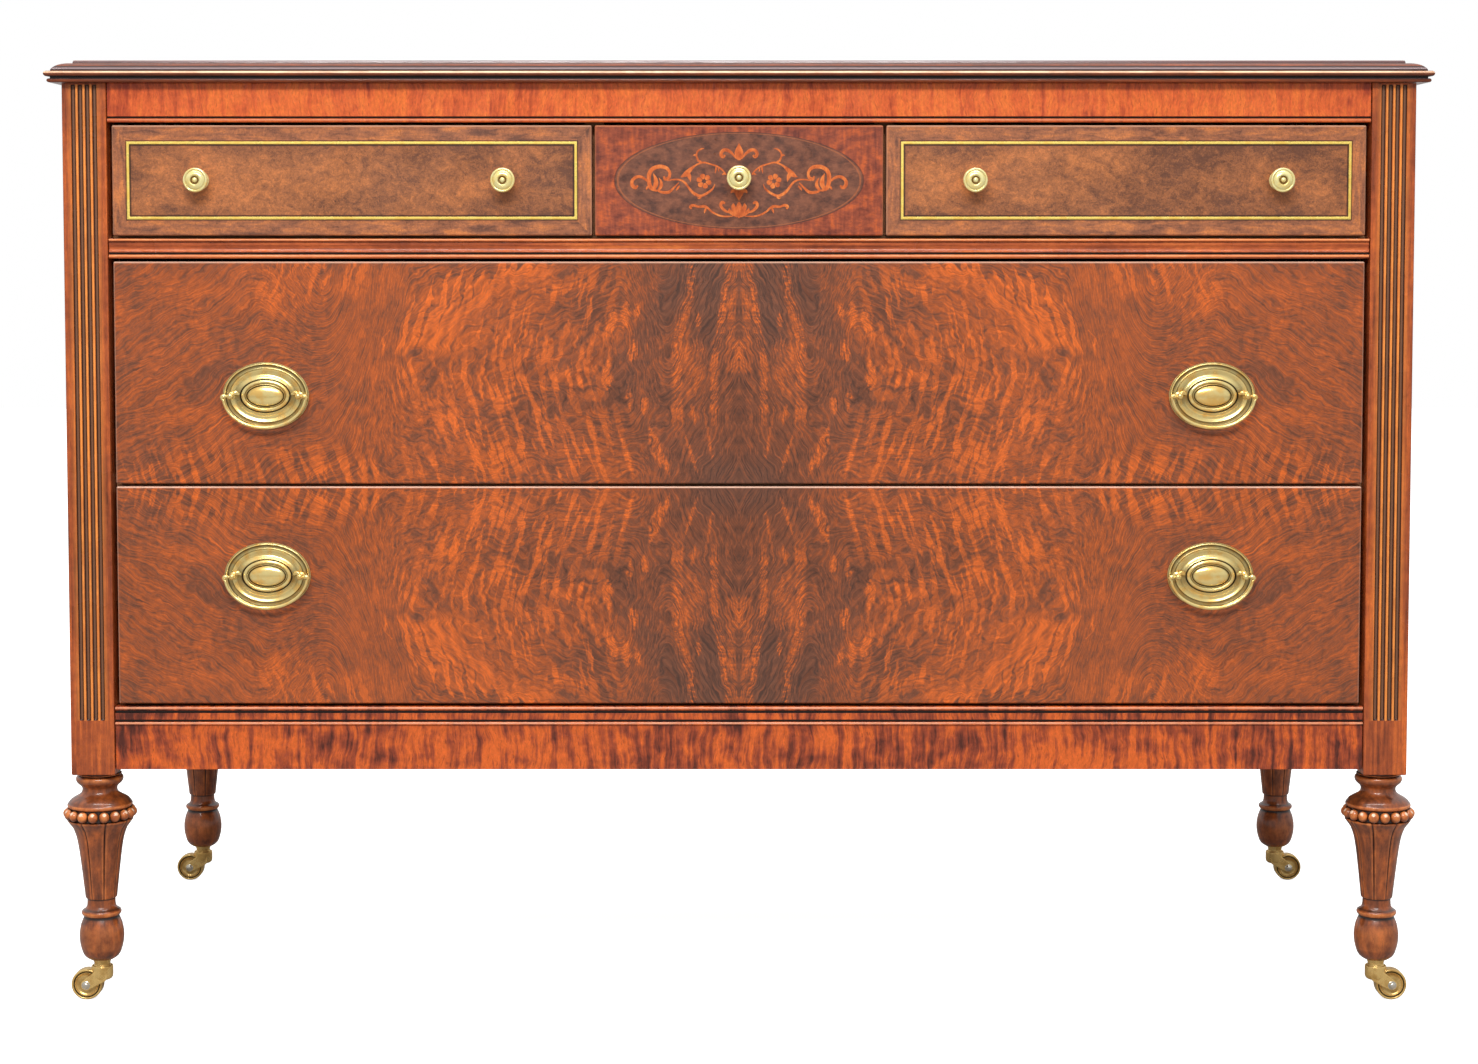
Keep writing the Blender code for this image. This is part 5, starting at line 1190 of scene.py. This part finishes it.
def leg_solid():
    """The leg round its own axis with its ring of slightly uneven beads, and its wear and painted
    light.
    """
    body, wear_and_light = leg_body()
    solids = [body]
    for k in range(BEADS):
        (points, faces), bead_wear_and_highlight = bead(0.25 * math.sin(k * 2.7))
        turn = 2 * math.pi * (k + 0.5) / BEADS
        c, n = math.cos(turn), math.sin(turn)
        solids.append(([((BEAD_RING + x) * c - y * n, (BEAD_RING + x) * n + y * c, BEAD_Z + z)
                        for x, y, z in points], faces))
        wear_and_light += bead_wear_and_highlight
    return gathered(solids), wear_and_light


LEGS = [f"{row}_{hand}" for row in ("front", "rear") for hand in ("left", "right")]


def add_legs():
    solid, wear_and_light = leg_solid()
    for leg in LEGS:
        x, y, _ = middle(f"{leg}_leg")
        add_piece(f"{leg}_leg_carved", moved(solid, (x, y, 0)), woods["turned"], "case",
                  [f"{leg}_leg"], 45, wear_and_light=wear_and_light)


# Casters: rows of radius and height above the floor; the wheel's of radius, half width and patina

SOCKET_ROWS = [
    (0, 30.6), (6.6, 30.6), (7.7, 30.9), (8.2, 31.5), (8.25, 32.4), (7.9, 33), (7.5, 33.3),
    (7.4, 34), (7.6, 35), (8, 36.2), (8.2, 37), (8.2, 37.8), (5.7, 37.8), (5.7, 60), (0, 60)]
BOSS_ROWS = [
    (0, 18.6), (5.6, 18.6), (7.6, 19), (9, 20), (9.8, 21.6), (10, 23.5), (10, 30.6), (9.9, 31.5),
    (9.6, 31.9), (9.2, 31.9), (8.9, 31.6), (8.8, 30.2), (0, 30.2)]
STEM_ROWS = ((0, 29), (3.6, 29), (3.6, 60), (0, 60))
WHEEL_ROWS = [
    (3, 3.9, 0.9), (4.6, 4.2, 0.6), (5.6, 3.9, 0.3), (7.4, 3.4, 0.15), (9.2, 3.7, 0.1),
    (10.4, 4.6, 0), (11, 5.2, 0.1), (11.3, 5.2, 0.3), (11.5, 4.4, 0.8), (11.8, 3.9, 0.9),
    (12.1, 4.1, 0.8), (12.3, 4.9, 0.4), (12.5, 5.7, 0.1), (12.9, 6, 0), (13.8, 6, 0),
    (14.2, 5.7, 0), (14.45, 4.9, 0.2), (14.5, 2, 0.2)]
AXLE_END_ROWS = [(4.0, 8.9), (4.0, 9.3), (3.6, 9.6), (2.9, 9.7), (2.8, 9.9), (2.6, 10.5),
                 (1.9, 11.1), (1.0, 11.4), (0.0, 11.45)]
AXLE = (-13.8, 14.5)            # out from the leg's axis, and up
CHEEK_ROOT = (0.0, 23.2)
CHEEK_RADII = (6.4, 5.0)        # at the root and at the axle


def cheek_solid(y0, y1):
    """One flat bar from the boss to the axle, its outer edges softened."""
    wide, end = CHEEK_RADII
    slope = math.degrees(math.atan2(CHEEK_ROOT[1] - AXLE[1], CHEEK_ROOT[0] - AXLE[0]))
    spread = math.degrees(math.acos((end - wide) / math.dist(AXLE, CHEEK_ROOT)))
    soft = 0.4
    first, last = (0.0, soft) if abs(y1) > abs(y0) else (soft, 0.0)
    rings = []
    for y, shrink in ((y0, first), (y0 + soft, 0.0), (y1 - soft, 0.0), (y1, last)):
        outline = arc(CHEEK_ROOT, (wide - shrink,) * 2, slope - spread, slope + spread, 16)
        outline += arc(AXLE, (end - shrink,) * 2, slope + spread, slope + 360 - spread, 20)
        rings.append([(x, y, z) for x, z in outline])
    return lofted(rings)


def add_casters():
    collar = turning(SOCKET_ROWS, 64)
    fork = gathered([turning(BOSS_ROWS, 64), turning(STEM_ROWS, 24), cheek_solid(6.7, 8.9),
                     cheek_solid(-8.9, -6.7)])
    axle = facing_front(turning([(radius, -out) for radius, out in reversed(AXLE_END_ROWS)]
                                + [(2.3, -8.9), (2.3, 8.9)] + AXLE_END_ROWS, 32))
    wheel, patina_and_shade = painted_turning(
        WHEEL_ROWS + [(radius, -half, dark) for radius, half, dark in reversed(WHEEL_ROWS)], 96,
        closed=True)
    wheel = facing_front(wheel)
    for leg in LEGS:
        x, y, _ = middle(f"{leg}_leg")
        flip = leg.endswith("right")
        hub = (x - AXLE[0] if flip else x + AXLE[0], y, AXLE[1])
        caster = f"{leg}_caster"
        add_piece(f"{caster}_collar", moved(collar, (x, y, 0)), brasses["caster"], "case",
                  [f"{caster}_socket"], 40)
        add_piece(f"{caster}_fork", moved(fork, (x, y, 0), flip), brasses["caster"],
                  f"{caster}_swivel", [f"{caster}_horn"], 40)
        add_piece(f"{caster}_axle", moved(axle, hub), brasses["axle"], f"{caster}_swivel",
                  angle=40)
        add_piece(f"{caster}_wheel_turned", moved(wheel, hub), brasses["caster"],
                  f"{caster}_wheel", [f"{caster}_wheel"], 40, wear_and_light=patina_and_shade)


# Stage, in metres

FLOOR_GLOW = 0.82       # lifts the floor to white in the picture; the dresser gets none of it
FLOOR_HALF = 9.0


def add_floor():
    mesh = bpy.data.meshes.new("floor")
    mesh.from_pydata([(x * FLOOR_HALF, y * FLOOR_HALF, 0)
                      for x, y in ((-1, -1), (1, -1), (1, 1), (-1, 1))], [], [(0, 1, 2, 3)])
    floor = bpy.data.objects.new("floor", mesh)
    bpy.context.scene.collection.objects.link(floor)
    s = Surface("pale_floor", specular=0.2)
    colour = s.ramp(s.noise(900, detail=4), (0.3, (0.86, 0.86, 0.855, 1)),
                    (0.7, (0.90, 0.90, 0.895, 1)))
    seen = s.add("ShaderNodeLightPath", out="Is Camera Ray")
    s.shader.inputs["Emission Color"].default_value = (1, 1, 1, 1)
    s.feed(s.shader.inputs["Emission Strength"], seen * FLOOR_GLOW)
    colour = s.mix(seen, (0.36, 0.34, 0.32, 1), colour)
    mesh.materials.append(s.finish(colour, 0.85, s.noise(3), 0.05))


def add_light(name, energy, size, place, target):
    lamp = bpy.data.lights.new(name, "AREA")
    lamp.shape = "RECTANGLE"
    lamp.size, lamp.size_y = size
    lamp.energy = energy
    holder = bpy.data.objects.new(name, lamp)
    bpy.context.scene.collection.objects.link(holder)
    holder.location = place
    away = [a - b for a, b in zip(place, target)]
    flat = math.hypot(away[0], away[1])
    holder.rotation_euler = (math.atan2(flat, away[2]), 0.0, math.atan2(away[0], -away[1]))


def add_world():
    """A white studio as a picture shows it; its light is dim in front and brighter above."""
    world = bpy.data.worlds.new("studio")
    bpy.context.scene.world = world
    world.use_nodes = True
    graph = Graph(world.node_tree)
    back = graph.tree.nodes["Background"]
    back.inputs["Color"].default_value = (1.0, 1.0, 1.0, 1.0)
    place = graph.add("ShaderNodeTexCoord", out="Generated")
    behind, above = (graph.add("ShaderNodeSeparateXYZ", place, out=axis) for axis in (1, 2))
    seen = graph.add("ShaderNodeLightPath", out="Is Camera Ray")
    level = graph.greatest(seen, graph.spread(behind, -0.6, 0.6, 0.50, 0.66))
    graph.feed(back.inputs["Strength"], level + graph.spread(above, 0.30, 0.95, 0.0, 0.25))


def add_camera():
    """The photograph's view: a little above the middle and 2.5 m in front of the posts."""
    camera = bpy.data.cameras.new("camera")
    camera.sensor_width = 36.0
    camera.lens = 66.06
    camera.shift_y = -0.0852
    camera.clip_end = 60.0
    holder = bpy.data.objects.new("camera", camera)
    bpy.context.scene.collection.objects.link(holder)
    holder.location = (0.0, FRONT_Y * MM - 2.5, 0.7106)
    holder.rotation_euler = (math.radians(90.0 - 3.4), 0.0, 0.0)
    bpy.context.scene.camera = holder


dress_nodes()
add_top()
add_rails()
for hand in ("left", "right"):
    add_post(hand)
add_strings()
add_marquetry()
add_knobs()
add_pulls()
add_legs()
add_casters()
add_floor()
add_world()
add_light("key", 51.0, (1.6, 0.5), (-0.2, -2.65, 2.15), (0.0, 0.0, 0.45))
add_light("high", 30.0, (2.6, 0.4), (0.0, -0.8, 3.0), (0.0, -0.28, 0.3))
add_camera()
bpy.context.scene.view_settings.view_transform = "Standard"
